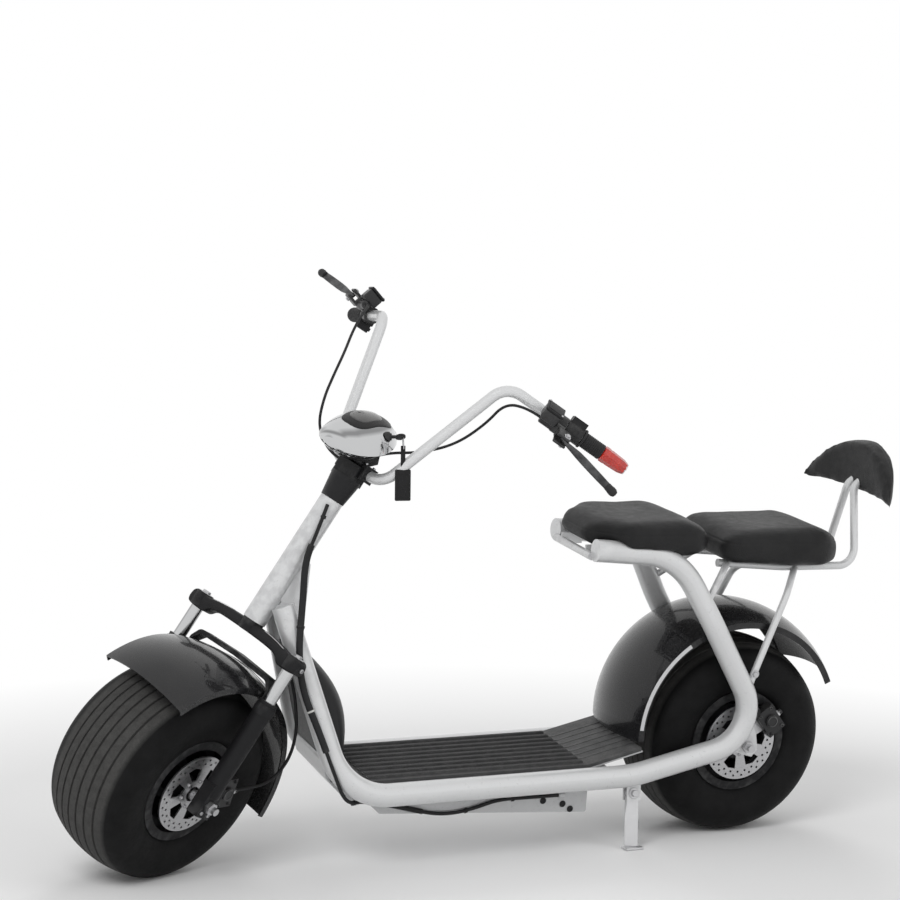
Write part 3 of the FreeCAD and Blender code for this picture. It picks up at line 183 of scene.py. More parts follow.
PLACE = ("Place", "NodeSocketVector", (0, 0, 0))
SPECKLE = effect("speckle", [PLACE, ("Scale", "NodeSocketFloat", 400.0), ("Low", "NodeSocketFloat", 0.0),
                             ("High", "NodeSocketFloat", 1.0)], [("Level", "NodeSocketFloat")], build_speckle)
RUB = effect("rub_and_dust", [PLACE, ("Edge amount", "NodeSocketFloat", 1.0),
                              ("Dust amount", "NodeSocketFloat", 0.2)],
             [("Edge", "NodeSocketFloat"), ("Dust", "NodeSocketFloat")], build_rub)
HIDE = effect("pebbled_hide", [PLACE, ("Scale", "NodeSocketFloat", 700.0)],
              [("Height", "NodeSocketFloat")], build_hide)


class Finish(Wiring):
    """A finish in progress: its shader, where on the piece it is, and the shared effects."""

    def __init__(self, name, colour, **plain):
        self.made = bpy.data.materials.new(name)
        self.made.use_nodes = True
        super().__init__(self.made.node_tree)
        self.shader = self.tree.nodes["Principled BSDF"]
        self.colour = (*colour, 1.0)
        self.set("Base Color", self.colour)
        for label, value in plain.items():
            self.set(label.replace("_", " "), value)
        self.place = self.add("TexCoord").outputs["Object"]

    def set(self, label, value):
        self.join(self.shader.inputs[label], value)

    def group(self, tree, **inputs):
        node = self.add("Group", node_tree=tree)
        self.join(node.inputs["Place"], self.place)
        for label, value in inputs.items():
            self.join(node.inputs[label.replace("_", " ")], value)
        return node.outputs

    def speckle(self, scale, low, high):
        return self.group(SPECKLE, Scale=scale, Low=low, High=high)["Level"]

    def bump(self, height, depth):
        """Relief of this depth in metres."""
        made = self.add("Bump", {"Height": height, "Strength": 1.0, "Distance": depth})
        self.set("Normal", made.outputs["Normal"])

    def from_axle(self, centre, axis):
        """Distance from a wheel's axis."""
        away = self.add("VectorMath", {0: self.place, 1: centre}, operation="SUBTRACT").outputs[0]
        swept = self.add("VectorMath", {0: away, 1: axis}, operation="CROSS_PRODUCT").outputs[0]
        return self.add("VectorMath", {0: swept}, operation="LENGTH").outputs["Value"]

    def worn(self, edge, edge_colour, dust, dust_colour=(0.42, 0.40, 0.37)):
        rub = self.group(RUB, Edge_amount=edge, Dust_amount=dust)
        rubbed = self.mix(rub["Edge"], self.colour, (*edge_colour, 1))
        self.set("Base Color", self.mix(rub["Dust"], rubbed, (*dust_colour, 1)))


def plain(name, colour, rough, worn=None, relief=None, **fixed):
    """A finish of mottled roughness (scale, low, high), wear, and relief: (scale, depth) of
    speckle, or (scale, detail, depth) of smooth noise."""
    f = Finish(name, colour, **fixed)
    f.set("Roughness", f.speckle(*rough))
    if worn:
        f.worn(*worn)
    if relief:
        height = f.speckle(relief[0], 0.0, 1.0) if len(relief) == 2 else f.noise(f.place, *relief[:2])
        f.bump(height, relief[-1])
    return f.made


def silver_paint(name, shade):
    """Satin silver paint over welded steel."""
    return plain(name, shade, (900.0, 0.26, 0.40), (0.5, (0.45, 0.45, 0.46), 0.05, (0.62, 0.61, 0.59)),
                 (180.0, 1.0, 0.00003), Metallic=0.25, Coat_Roughness=0.12, Coat_Weight=0.35)


def moulded_black(name):
    """Injection-moulded black plastic with a spark-eroded grain."""
    return plain(name, (0.009, 0.009, 0.010), (1500.0, 0.36, 0.52), (0.4, (0.08, 0.08, 0.08), 0.06),
                 (2600.0, 2.0, 0.00008), Specular_IOR_Level=0.28)


def chrome_plate(name):
    """Chrome with a painted reflection: a darker band of base colour on faces that look a little upward,
    standing in for a horizon.
    """
    f = Finish(name, (0.56, 0.565, 0.57), Metallic=1.0)
    # Painted reflection: faces whose normal has a Z of about 0.44 to 0.72 get a darker base colour
    level = f.add("SeparateXYZ", {"Vector": f.add("NewGeometry").outputs["Normal"]}).outputs["Z"]
    line = f.sum("MULTIPLY", f.ramp(level, 0.44, 0.54), f.ramp(level, 0.60, 0.72, 1.0, 0.0))
    f.set("Base Color", f.mix(line, f.colour, (0.26, 0.262, 0.265, 1)))
    f.set("Roughness", f.speckle(60.0, 0.10, 0.20))
    f.bump(f.noise(f.place, 35.0, 2.0), 0.00010)
    return f.made


def plain_steel(name, shade=(0.55, 0.55, 0.56), rough=(0.26, 0.42)):
    """Zinc-plated or ground steel, a little cloudy."""
    return plain(name, shade, (500.0, *rough), (0.0, shade, 0.12), (1400.0, 0.00004), Metallic=1.0)


def ground_disc(name, centre, axis):
    """Brake disc steel, ground in rings round the axle."""
    f = Finish(name, (0.50, 0.50, 0.51), Metallic=1.0)
    radius = f.from_axle(centre, axis)
    ground = f.add("TexNoise", {"W": radius, "Scale": 1400.0, "Detail": 4.0}, noise_dimensions="1D")
    rings = ground.outputs["Fac"]
    f.set("Roughness", f.ramp(rings, 0.3, 0.7, 0.24, 0.46))
    f.set("Base Color", f.mix(f.ramp(rings, 0.3, 0.7), (0.40, 0.40, 0.41, 1), (0.62, 0.62, 0.63, 1)))
    f.bump(rings, 0.00005)
    return f.made


def tyre_rubber(name, centre, axis):
    """Black tyre: the tread lighter grey in speckled patches, partly road scuff and partly a painted highlight
    on the ribs; the walls darker and smooth.
    """
    f = Finish(name, (0.012, 0.012, 0.013), Specular_IOR_Level=0.12)
    radius = f.from_axle(centre, axis)
    # Tread band lighter grey and rougher in speckled patches: road scuff, and a painted highlight on the ribs
    scuff_and_highlight = f.sum("MULTIPLY", f.ramp(radius, 0.2125, 0.2165), f.speckle(520.0, 0.55, 1.0))
    wall = f.mix(f.speckle(26.0, 0.0, 1.0), (0.004, 0.004, 0.0042, 1), (0.009, 0.009, 0.0093, 1))
    f.set("Base Color", f.mix(scuff_and_highlight, wall, (0.075, 0.074, 0.072, 1)))
    f.set("Roughness", f.sum("ADD", f.speckle(300.0, 0.50, 0.66), f.sum("MULTIPLY", scuff_and_highlight, 0.2)))
    f.bump(f.speckle(900.0, 0.0, 1.0), 0.00025)
    return f.made


def leatherette(name):
    """Black seat cover with a pebbled grain."""
    f = Finish(name, (0.012, 0.012, 0.013), Specular_IOR_Level=0.28)
    patch = f.speckle(40.0, 0.0, 1.0)
    f.set("Base Color", f.mix(patch, (0.006, 0.006, 0.0064, 1), (0.010, 0.010, 0.0104, 1)))
    f.set("Roughness", f.speckle(70.0, 0.40, 0.54))
    f.bump(f.group(HIDE, Scale=620.0)["Height"], 0.00055)
    return f.made


def soft_rubber(name, shade=(0.02, 0.02, 0.021)):
    return plain(name, shade, (800.0, 0.5, 0.68), (0.4, (0.06, 0.06, 0.06), 0.05), (1200.0, 0.00012),
                 Specular_IOR_Level=0.3)


def red_clear(name):
    """Red lamp plastic, its colour mottled between darker and lighter red."""
    f = Finish(name, (0.62, 0.022, 0.012), Transmission_Weight=0.25, Coat_Weight=0.6, IOR=1.49)
    f.set("Roughness", f.speckle(300.0, 0.14, 0.30))
    f.set("Base Color", f.mix(f.speckle(90.0, 0.0, 1.0), (0.50, 0.012, 0.008, 1), (0.72, 0.04, 0.02, 1)))
    f.bump(f.noise(f.place, 500.0, 1.0), 0.00010)
    return f.made


def cast_lever(name):
    """Unpainted cast lever, patchy between dark and bright."""
    f = Finish(name, (0.2, 0.2, 0.2), Metallic=0.85)
    patch = f.ramp(f.noise(f.place, 34.0, 3.0), 0.36, 0.66)
    f.set("Base Color", f.mix(patch, (0.05, 0.05, 0.052, 1), (0.13, 0.13, 0.133, 1)))
    f.set("Roughness", f.speckle(300.0, 0.30, 0.44))
    f.bump(f.speckle(500.0, 0.0, 1.0), 0.00015)
    return f.made


SILVER = silver_paint("silver_paint", (0.66, 0.665, 0.67))
BOX_SILVER = silver_paint("box_silver_paint", (0.50, 0.505, 0.51))
# Thick gloss black paint with the slight waviness of sprayed sheet
GLOSS = plain("gloss_black_paint", (0.010, 0.010, 0.011), (120.0, 0.18, 0.34),
              (0.3, (0.08, 0.08, 0.08), 0.03), (220.0, 1.0, 0.00005),
              Coat_Weight=0.5, Coat_Roughness=0.03, Specular_IOR_Level=0.15)
# Black paint on sand castings: grainy, rubbed on its edges
CAST = plain("black_casting", (0.010, 0.010, 0.011), (700.0, 0.40, 0.56), (0.35, (0.12, 0.12, 0.12), 0.03),
             (1100.0, 0.00022), Specular_IOR_Level=0.2)
MOULDED = moulded_black("moulded_black")
# Powder-coated steel
COATED = plain("coated_black_steel", (0.016, 0.016, 0.017), (900.0, 0.30, 0.46), (0.7, (0.2, 0.2, 0.2), 0.07),
               (1300.0, 2.0, 0.00012), Specular_IOR_Level=0.4)
CHROME = chrome_plate("chrome_plate")
ZINC = plain_steel("zinc_bolts")
SATIN = plain_steel("stand_steel", (0.66, 0.66, 0.67), (0.34, 0.5))
REAR_DISC = ground_disc("rear_disc_steel", REAR_AXLE, LEFT)
FRONT_DISC = ground_disc("front_disc_steel", FRONT_AXLE, TURNED)
REAR_RUBBER = tyre_rubber("rear_tyre_rubber", REAR_AXLE, LEFT)
FRONT_RUBBER = tyre_rubber("front_tyre_rubber", FRONT_AXLE, TURNED)
HIDE_BLACK = leatherette("seat_leatherette")
# Foot mat, scuffed and dusty where shoes rub
MAT = plain("mat_rubber", (0.060, 0.060, 0.061), (260.0, 0.46, 0.70),
            (0.4, (0.14, 0.14, 0.14), 0.18, (0.16, 0.157, 0.15)), (1000.0, 0.00030), Specular_IOR_Level=0.35)
GRIP = soft_rubber("grip_rubber")
SHEATH = soft_rubber("cable_sheath", (0.012, 0.012, 0.013))
TIE = soft_rubber("cable_tie", (0.6, 0.6, 0.58))
RED = red_clear("red_lamp")
LEVER = cast_lever("cast_lever")
GREY = moulded_black("grey_moulded")
TAG = leatherette("key_tag_leather")
GLASS = plain("clear_lens", (0.93, 0.95, 0.96), (90.0, 0.02, 0.07), None, (160.0, 1.0, 0.00010),
              Transmission_Weight=1.0, IOR=1.45)
# Smoked plate of the instrument, glossy, with faint dust
DISPLAY = plain("smoked_display", (0.018, 0.018, 0.02), (150.0, 0.22, 0.38), (0.2, (0.1, 0.1, 0.1), 0.25),
                Coat_Weight=0.7, Coat_Roughness=0.08)

DRESS = {
    SILVER: "cross_tubes dropouts head_tube main_tube_left main_tube_right passenger_frame seat_struts "
            "seat_bracket stand_bracket handlebar",
    BOX_SILVER: "belly_box nose_box deck_plate",
    GLOSS: "front_fender rear_fender",
    CAST: "fork_crown fork_legs fender_brace front_rim rear_rim",
    MOULDED: "leg_cover stem_clamp display_panel switch_boxes brake_masters key_set battery",
    COATED: "front_caliper rear_caliper",
    CHROME: "headlight_shell stanchions",
    SATIN: "side_stand",
    ZINC: "front_axle rear_axle",
    REAR_DISC: "rear_rotor", FRONT_DISC: "front_rotor",
    REAR_RUBBER: "rear_tyre", FRONT_RUBBER: "front_tyre",
    HIDE_BLACK: "rider_seat passenger_seat backrest_pad",
    MAT: "deck_mat", GRIP: "grips", RED: "bar_end_lamp", LEVER: "brake_levers", GLASS: "headlight_lens",
    SHEATH: "harness front_hose bar_cables",
}
for finish, names in DRESS.items():
    for name in names.split():
        slots = frame["nodes"][name].data.materials
        if not slots:
            slots.append(finish)
        for i in range(len(slots)):
            slots[i] = finish


# Drawing


def flat_outline(wide, thick):
    """Section of a flat bar of half sizes 1, its corners cut off at these shares."""
    lower = [(-1, -thick), (-wide, -1), (wide, -1), (1, -thick)]
    return lower + [(u, -v) for u, v in reversed(lower)]


class Kit:
    """Small solids gathered into one piece, in millimetres of a local frame."""

    def __init__(self):
        self.mesh = bmesh.new()

    def skin(self, rings, closed=False):
        """Faces between rings of points; a ring of one point closes to a tip."""
        rings = [[self.mesh.verts.new(Vector(p)) for p in ring] for ring in rings]
        pairs = list(zip(rings, rings[1:])) + ([(rings[-1], rings[0])] if closed else [])
        for a, b in pairs:
            count = max(len(a), len(b))
            for k in range(count):
                n = (k + 1) % count
                corners = [a[k % len(a)], a[n % len(a)], b[n % len(b)], b[k % len(b)]]
                unique = list(dict.fromkeys(corners))
                if len(unique) > 2:
                    self.mesh.faces.new(unique)
        if not closed:
            for ring in (rings[0], rings[-1]):
                if len(ring) > 2:
                    self.mesh.faces.new(ring)

    def turned(self, line, foot=(0, 0, 0), along=(0, 0, 1), steps=32, closed=False):
        """A lathe shape: radii and heights along an axis."""
        turn = Vector((0, 0, 1)).rotation_difference(Vector(along)).to_matrix()
        rings = []
        for radius, height in line:
            count = steps if radius > 1e-6 else 1
            rings.append([Vector(foot) + turn @ Vector((radius * math.cos(a), radius * math.sin(a), height))
                          for a in (2 * math.pi * k / count for k in range(count))])
        self.skin(rings, closed)

    def block(self, low, high, soft=1.5, place=None):
        low, high = Vector(low), Vector(high)
        corners = bmesh.ops.create_cube(self.mesh, size=1.0)["verts"]
        for v in corners:
            v.co = Vector(a + (b - a) * (c + 0.5) for a, b, c in zip(low, high, v.co))
            if place is not None:
                v.co = place @ v.co
        edges = {e for v in corners for e in v.link_edges}
        bmesh.ops.bevel(self.mesh, geom=list(edges), offset=soft, segments=3, profile=0.5, affect="EDGES")

    def hex_bolt(self, foot, along, radius, high):
        """A hexagon head on a washer."""
        seat, wide = 1.2, radius * 1.5
        top = seat + high
        self.turned([(0, 0), (wide, 0), (radius * 1.6, 0.5), (wide, seat), (0, seat)], foot, along, 24)
        self.turned([(0, seat), (radius, seat), (radius * 1.02, seat + high * 0.8), (radius * 0.9, top),
                     (0, top)], foot, along, 6)

    def cap_screw(self, foot, along, radius, high):
        """A round head with a socket."""
        self.turned([(0, 0), (radius, 0), (radius, high * 0.75), (radius * 0.85, high), (radius * 0.52, high),
                     (radius * 0.46, high * 0.45), (0, high * 0.4)], foot, along, 20)

    def tube(self, points, radius, steps=14):
        """A round bar through close points."""
        points = [Vector(p) for p in points]
        across = (points[1] - points[0]).orthogonal().normalized()
        rings = []
        for i, p in enumerate(points):
            aim = (points[min(i + 1, len(points) - 1)] - points[max(i - 1, 0)]).normalized()
            across = (across - aim * across.dot(aim)).normalized()
            side = aim.cross(across)
            rings.append([p + (across * math.cos(a) + side * math.sin(a)) * radius
                          for a in (2 * math.pi * k / steps for k in range(steps))])
        self.skin(rings)

    def so_far(self):
        return set(self.mesh.verts)

    def carry(self, before, place):
        """Brings what was drawn since then into another frame."""
        for v in self.mesh.verts:
            if v not in before:
                v.co = place @ v.co

    def strap(self, path, wide, thick, across=(1, 0, 0)):
        """A flat band along points, its width lying along a direction."""
        path, across = [Vector(p) for p in path], Vector(across).normalized()
        rings = []
        for i, p in enumerate(path):
            aim = (path[min(i + 1, len(path) - 1)] - path[max(i - 1, 0)]).normalized()
            side = (across - aim * across.dot(aim)).normalized()
            out = aim.cross(side)
            rings.append([p + side * (u * wide / 2) + out * (v * thick / 2)
                          for u, v in flat_outline(0.92, 0.6)])
        self.skin(rings)

    def done(self, name, place, finish, body, slot, replaces=(), sharp=34):
        bmesh.ops.recalc_face_normals(self.mesh, faces=self.mesh.faces)
        mesh = bpy.data.meshes.new(name)
        self.mesh.to_mesh(mesh)
        self.mesh.free()
        mesh.transform(place)
        mesh.materials.append(finish)
        settle(bpy.data.objects.new(name, mesh), body, replaces, sharp)


def settle(obj, body, replaces, sharp=0):
    """Links a finished piece, smooths it and lets it ride."""
    if not obj.users_collection:
        bpy.context.scene.collection.objects.link(obj)
    if obj.type == "MESH":
        obj.data.polygons.foreach_set("use_smooth", [True] * len(obj.data.polygons))
        obj.data.set_sharp_from_angle(angle=math.radians(sharp))
    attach(obj, body)
    if replaces:
        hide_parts(*replaces)


def bent(points, radii):
    """Points along straight runs joined by tangent arcs."""
    points = [Vector(p) for p in points]
    path = [points[0]]
    for i in range(1, len(points) - 1):
        back = (points[i - 1] - points[i]).normalized()
        on = (points[i + 1] - points[i]).normalized()
        half = back.angle(on) / 2
        if radii[i] <= 0 or abs(half - math.pi / 2) < 1e-3:
            path.append(points[i])
            continue
        reach = radii[i] / math.tan(half)
        centre = points[i] + (back + on).normalized() * radii[i] / math.sin(half)
        start = (points[i] + back * reach - centre).normalized()
        stop = (points[i] + on * reach - centre).normalized()
        steps = max(4, round(math.degrees(math.pi - 2 * half) / 4))
        path += [centre + start.slerp(stop, k / steps) * radii[i] for k in range(steps + 1)]
    return path + [points[-1]]


def cable(name, routes, radius, place, body, replaces=()):
    """Smooth lines over the routes' own points."""
    line = bpy.data.curves.new(name, "CURVE")
    line.dimensions = "3D"
    line.bevel_depth = radius / 1000
    line.bevel_resolution = 4
    line.use_fill_caps = True
    line.resolution_u = 10
    for points in routes:
        run = line.splines.new("NURBS")
        run.points.add(len(points) - 1)
        for spot, p in zip(run.points, points):
            spot.co = (*(place @ Vector(p)), 1)
        run.order_u = 3
        run.use_endpoint_u = True
    line.materials.append(SHEATH)
    settle(bpy.data.objects.new(name, line), body, replaces)


# Tyres, with their ribs


def tyre(name, place, finish, body, node):
    """Ribbed tyre: eight grooves round the tread, round shoulders and bulging walls."""
    hub, tread, shoulder = -22.0, 250.0, 45.0
    across, radial, turn = 67.0, 171.7, math.asin(67.0 / 205.0)
    half = [(117.5, 92.5), (120, 99.6), (131, 104.5), (146, 109.3), (160, 111.6)]
    for k in range(15):
        a = math.pi / 2 - (math.pi / 2 - turn) * k / 14
        half.append((radial + shoulder * math.cos(a), across + shoulder * math.sin(a)))
    half += [(hub + tread * math.cos(a), tread * math.sin(a)) for a in (0.31, 0.30)]
    line = list(half)
    pitch, wall = 23.4, [(3.4, 0), (2.6, 0), (1.9, 4.6), (1.2, 5.4)]
    groove = wall + [(-shift, deep) for shift, deep in reversed(wall)]
    for edge in (82, 58.6, 35.2, 11.8, -11.8, -35.2, -58.6, -82):
        for shift, deep in groove:
            y = edge + shift
            line.append((hub + math.sqrt(tread ** 2 - y ** 2) - deep, y))
        if edge > -82:
            for step in (0.3, 0.5, 0.7):
                y = edge - pitch * step
                line.append((hub + math.sqrt(tread ** 2 - y ** 2), y))
    line += [(r, -y) for r, y in reversed(half)]
    inside = [(103.5, 92.5), (103.5, 80), (150, 96), (190, 88)]
    line += [(r, -y) for r, y in inside] + [(214, 0)] + inside[::-1]
    kit = Kit()
    kit.turned(line, along=(0, 1, 0), steps=144, closed=True)
    kit.done(name, place, finish, body, "tyre", (node,), 50)


tyre("front_tyre_ribbed", FORK, FRONT_RUBBER, "front_wheel", "front_tyre")
tyre("rear_tyre_ribbed", REAR_WHEEL, REAR_RUBBER, "rear_wheel", "rear_tyre")


# Cushions


def apply_all(obj):
    """Bakes the modifiers into the mesh."""
    bpy.context.view_layer.update()
    shaped = bpy.data.meshes.new_from_object(obj.evaluated_get(bpy.context.evaluated_depsgraph_get()))
    obj.modifiers.clear()
    obj.data = shaped


def upholster(name, node, swell, sink, seam, smooth=60):
    """The cushion of a CAD node, inflated as cloth, with a sewn seam pressed into it; the seam
    gives the distance of a point from its line."""
    frames, wrinkle, seam_width, seam_depth = 20, 0.00025, 1.7, 0.001
    obj = bpy.data.objects.new(name, frame["nodes"][node].data.copy())
    bpy.context.scene.collection.objects.link(obj)
    obj.data.materials.clear()
    obj.data.materials.append(HIDE_BLACK)
    weld = obj.modifiers.new("even", "REMESH")
    weld.mode, weld.voxel_size = "VOXEL", 0.0055
    apply_all(obj)
    normals = [v.normal.copy() for v in obj.data.vertices]
    for v, n in zip(obj.data.vertices, normals):
        v.co -= n * sink
    rest = [v.co.copy() for v in obj.data.vertices]
    cloth = obj.modifiers.new("fill", "CLOTH")
    cloth.settings.use_pressure = True
    cloth.settings.uniform_pressure_force = 4.0
    cloth.settings.effector_weights.gravity = 0.0
    cloth.point_cache.frame_start, cloth.point_cache.frame_end = 1, frames
    for step in range(1, frames + 1):
        bpy.context.scene.frame_set(step)
    apply_all(obj)
    for v, was in zip(obj.data.vertices, rest):
        move = v.co - was
        if move.length > swell:
            v.co = was + move.normalized() * swell
    bpy.context.scene.frame_set(1)
    even = obj.modifiers.new("even", "SMOOTH")
    even.factor, even.iterations = 0.5, smooth
    apply_all(obj)
    finer = obj.modifiers.new("finer", "SUBSURF")
    finer.levels = finer.render_levels = 1
    apply_all(obj)
    into = VEHICLE.inverted()
    spots = [(v.co.copy(), v.normal.copy()) for v in obj.data.vertices]
    for v, (spot, out) in zip(obj.data.vertices, spots):
        deep = seam_depth * math.exp(-((seam(into @ spot) / seam_width) ** 2))
        lump = noise.noise(spot * 16) + 0.5 * noise.noise(spot * 41)
        v.co = spot + out * (lump * wrinkle - deep)
    obj.data.update()
    settle(obj, "frame", (node,), 180)


upholster("rider_cushion", "rider_seat", 0.007, 0.004, lambda p: p.z - 722 - (p.x - 100) * 0.012)
upholster("passenger_cushion", "passenger_seat", 0.007, 0.004, lambda p: p.z - 694 - p.x * 0.02)
upholster("backrest_cushion", "backrest_pad", 0.005, 0.003, lambda p: p.x + 346 - p.y ** 2 * 0.0014, 14)


# Headlight pod

# Place along the pod, then half width, top, bottom and crease height there
POD_SECTIONS = ((78, 24, 4, -16, -8), (70, 42, 16, -24, -10), (50, 62, 29, -31, -11), (20, 75, 40, -33.7, -12),
                (-10, 77, 44, -33.7, -12), (-45, 66, 38, -33, -13), (-80, 44, 20, -30, -16),
                (-108, 20, -4, -26, -19), (-116, 8, -14, -23, -20))
# The lens band: its heights, where it starts along the pod, and the share of the width left behind it
BAND = (-27.0, -13.0)
BAND_START = -8.0
BAND_INSET = 0.80


def band_setback(x):
    """How far the pod's nose steps back behind the lens."""
    return 10 * max(0.0, x - 30) / 50


def pod_section(x):
    """Half width, top, bottom and crease height of the pod at a place along it."""
    spots = POD_SECTIONS
    x = max(spots[-1][0], min(spots[0][0], x))
    i = next(k for k in range(len(spots) - 1) if spots[k + 1][0] <= x)
    share = (spots[i][0] - x) / (spots[i][0] - spots[i + 1][0])
    before, after = spots[max(i - 1, 0)], spots[min(i + 2, len(spots) - 1)]
    out = []
    s, s2, s3 = share, share ** 2, share ** 3
    for k in range(1, 5):
        p, q = spots[i][k], spots[i + 1][k]
        m, n = (q - before[k]) / 2, (after[k] - p) / 2
        out.append((2 * s3 - 3 * s2 + 1) * p + (s3 - 2 * s2 + s) * m + (-2 * s3 + 3 * s2) * q + (s3 - s2) * n)
    return out


def arc_radius(half, rise):
    return (half ** 2 + rise ** 2) / (2 * rise)


def pod_ring(x, steps=40):
    """The pod's outline across it: a high arc above the crease, a flat one below."""
    half, top, low, crease = pod_section(x)
    ring = []
    for level, sign in ((top, 1), (low, -1)):
        rise = abs(level - crease)
        radius = arc_radius(half, rise)
        reach = math.asin(min(1.0, half / radius))
        if rise > half:
            reach = math.pi - reach
        for k in range(steps):
            a = sign * reach * (1 - 2 * k / steps)
            ring.append(Vector((x, radius * math.sin(a), level - sign * radius * (1 - math.cos(a)))))
    return ring


shell = Kit()
rings = []
for x in (78.6, 78, 76, 73, 69, 64, 58, 50, 41, 32, 22, 12, 2, -7, -8.5, -18, -30, -42, -54, -66, -78, -90,
          -100, -108, -113, -116):
    ring = pod_ring(min(x, 78))
    if x > 78:
        ring = [Vector((x, p.y * 0.8, (p.z + 7) * 0.7 - 7)) for p in ring]
    for p in ring:
        if x > BAND_START and BAND[0] < p.z < BAND[1]:
            p.y *= BAND_INSET
            p.x -= band_setback(x)
    rings.append(ring)
shell.skin(rings)
shell.done("chrome_pod", POD, CHROME, "fork", "chrome", ("headlight_shell",), 38)
recess = []
for x in range(-6, 79, 4):
    half = min(pod_ring(min(x, 78)), key=lambda p: abs(p.z + 20) - (p.y > 0)).y
    recess.append((x - band_setback(x) + 1.2, BAND_INSET * abs(half) + 1.2, -20.0))
recess = [(x, -y, z) for x, y, z in recess] + recess[::-1]
hollow = Kit()
hollow.strap(recess, 12.6, 1.0, (0, 0, 1))
hollow.done("lamp_recess", POD, MOULDED, "fork", "black_plastic")
lamps = Kit()
for share in (0.16, 0.36, 0.64, 0.84):
    k = int(share * (len(recess) - 1))
    spot, way = mid(recess[k], recess[k + 1]), Vector(recess[k + 1]) - Vector(recess[k])
    lamps.turned([(0, 0.2), (2.6, 0.6), (4.2, 1.8), (4.8, 2.0), (5.0, 1.6), (5.0, -0.4), (0, -0.4)], spot,
                 (way.y, -way.x, 0), 24)
lamps.done("lamp_bowls", POD, CHROME, "fork", "chrome")
base = Kit()
around = [2 * math.pi * i / 48 for i in range(48)]
base.skin([[Vector((-8 + 66 * k * math.cos(a), 56 * k * math.sin(a), z)) for a in around]
           for z, k in ((-43, 0.62), (-41, 0.74), (-35, 0.84), (-32, 0.86))])
base.done("pod_base", POD, MOULDED, "fork", "black_plastic", (), 40)


def pod_top(x, y):
    """Height of the pod's back at a place."""
    half, top, _, crease = pod_section(x)
    radius = arc_radius(half, top - crease)
    return top - radius + math.sqrt(max(0.0, radius ** 2 - y ** 2))


def plate_on_pod(name, middle, length, width, low, high, finish, replaces=()):
    """A plate with rounded ends that lies on the pod's back."""
    rows = []
    edge = ((-1, 0), (-0.97, 0.6), (-0.9, 1), (-0.45, 1), (0, 1), (0.45, 1), (0.9, 1), (0.97, 0.6), (1, 0))
    for k in range(33):
        u = -math.cos(math.pi * k / 32)
        x = middle + length * u
        wide = width * max(0.03, 1 - abs(u) ** 3.4) ** 0.42
        ends = min(1.0, (1 - abs(u)) * 14)
        row = [Vector((x, wide * v, pod_top(x, wide * v) + low + (high - low) * ends * part))
               for v, part in edge]
        rows.append(row + [Vector((p.x, p.y, pod_top(p.x, p.y) - 2)) for p in row[::-1]])
    kit = Kit()
    kit.skin(rows)
    kit.done(name, POD, finish, "fork", "black_plastic", replaces, 40)


plate_on_pod("instrument_cover", -20, 59, 39, 0.3, 2.2, MOULDED, ("display_panel",))
plate_on_pod("display_glass", -14, 36, 26, 2.0, 3.2, DISPLAY)


# Wiring, hoses and what holds them


HARNESS = [(995, 28, 791), (1015, 34, 739), (1043, 40, 676), (1047, 50, 592), (1069, 100, 489),
           (1059, 115, 408), (1032, 142, 337), (998, 162, 243), (962, 140, 168), (915, 120.5, 163),
           (860, 119.3, 152), (805, 119.3, 136), (750, 119.3, 121), (700, 119.3, 119), (650, 119.3, 128),
           (600, 119.3, 142), (528, 119.3, 141), (456, 119.3, 140.6)]
CALIPER_FRONT = FORK @ Matrix.Rotation(math.radians(-68), 4, "Y") @ Matrix.Translation((0, 106, 78))
CALIPER_REAR = REAR_WHEEL @ Matrix.Rotation(math.radians(-52), 4, "Y") @ Matrix.Translation((0, 106, 78))
to_fork = FORK.inverted()
FRONT_HOSE = [(-17, 100, 328), (-44, 100, 328), (-80, 118, 296), (-118, 132, 255), (-152, 142, 212),
              (-174, 146, 165), (-178, 144, 122), (-172, 134, 84)]
FRONT_HOSE += [to_fork @ CALIPER_FRONT @ Vector((0, 14, z)) for z in (78, 40)]
cable("harness_line", [HARNESS], 4, VEHICLE, "frame", ("harness",))
cable("front_brake_hose", [FRONT_HOSE], 3.5, FORK, "fork", ("front_hose",))
# How far the controls are turned down round the left (1) and the right bar (-1), and their cables
CONTROL_TURN = {1: 30, -1: -17}
BAR_RUNS = {1: [(-26.7, 20, 799.3), (-57.2, 20, 818.4), (-92, 60, 852), (-125, 104, 908), (-112, 150, 978),
                (-62, 196, 1032)],
            -1: [(4, -38, 750), (4, -72, 750), (34, -110, 782), (52, -124, 838), (44, -142, 894),
                 (22, -168, 950), (2, -196, 1000), (-30, -224, 1046)]}
for side, run in BAR_RUNS.items():
    master = to_fork @ on_bar(side, 0, CONTROL_TURN[side])
    run += [master @ Vector((32, 0, along)) for along in (58, 92)]
cable("bar_cable_lines", BAR_RUNS.values(), 3, FORK, "fork", ("bar_cables",))


def along_harness(first, last):
    """Its route between two of its points, from and to the middle of a stretch."""
    ends = [mid(HARNESS[k], HARNESS[k + 1]) for k in (first - 1, last)]
    return ends[:1] + HARNESS[first:last + 1] + ends[1:]


cable("heat_shrink", [along_harness(10, 11)], 5.6, VEHICLE, "frame")


def tie(kit, a, b, radius=4.0):
    """A cable tie half way between two route points, with its head."""
    spot, aim = mid(a, b), (Vector(b) - Vector(a)).normalized()
    kit.turned([(radius, -2), (radius + 1.4, -1.8), (radius + 1.4, 1.8), (radius, 2)], spot, aim, 20, True)
    out = aim.orthogonal().normalized()
    kit.block((-2.4, radius + 0.4, -2.6), (2.4, radius + 4.4, 2.6), 0.8,
              Matrix.Translation(spot) @ Matrix((out.cross(aim), out, aim)).transposed().to_4x4())


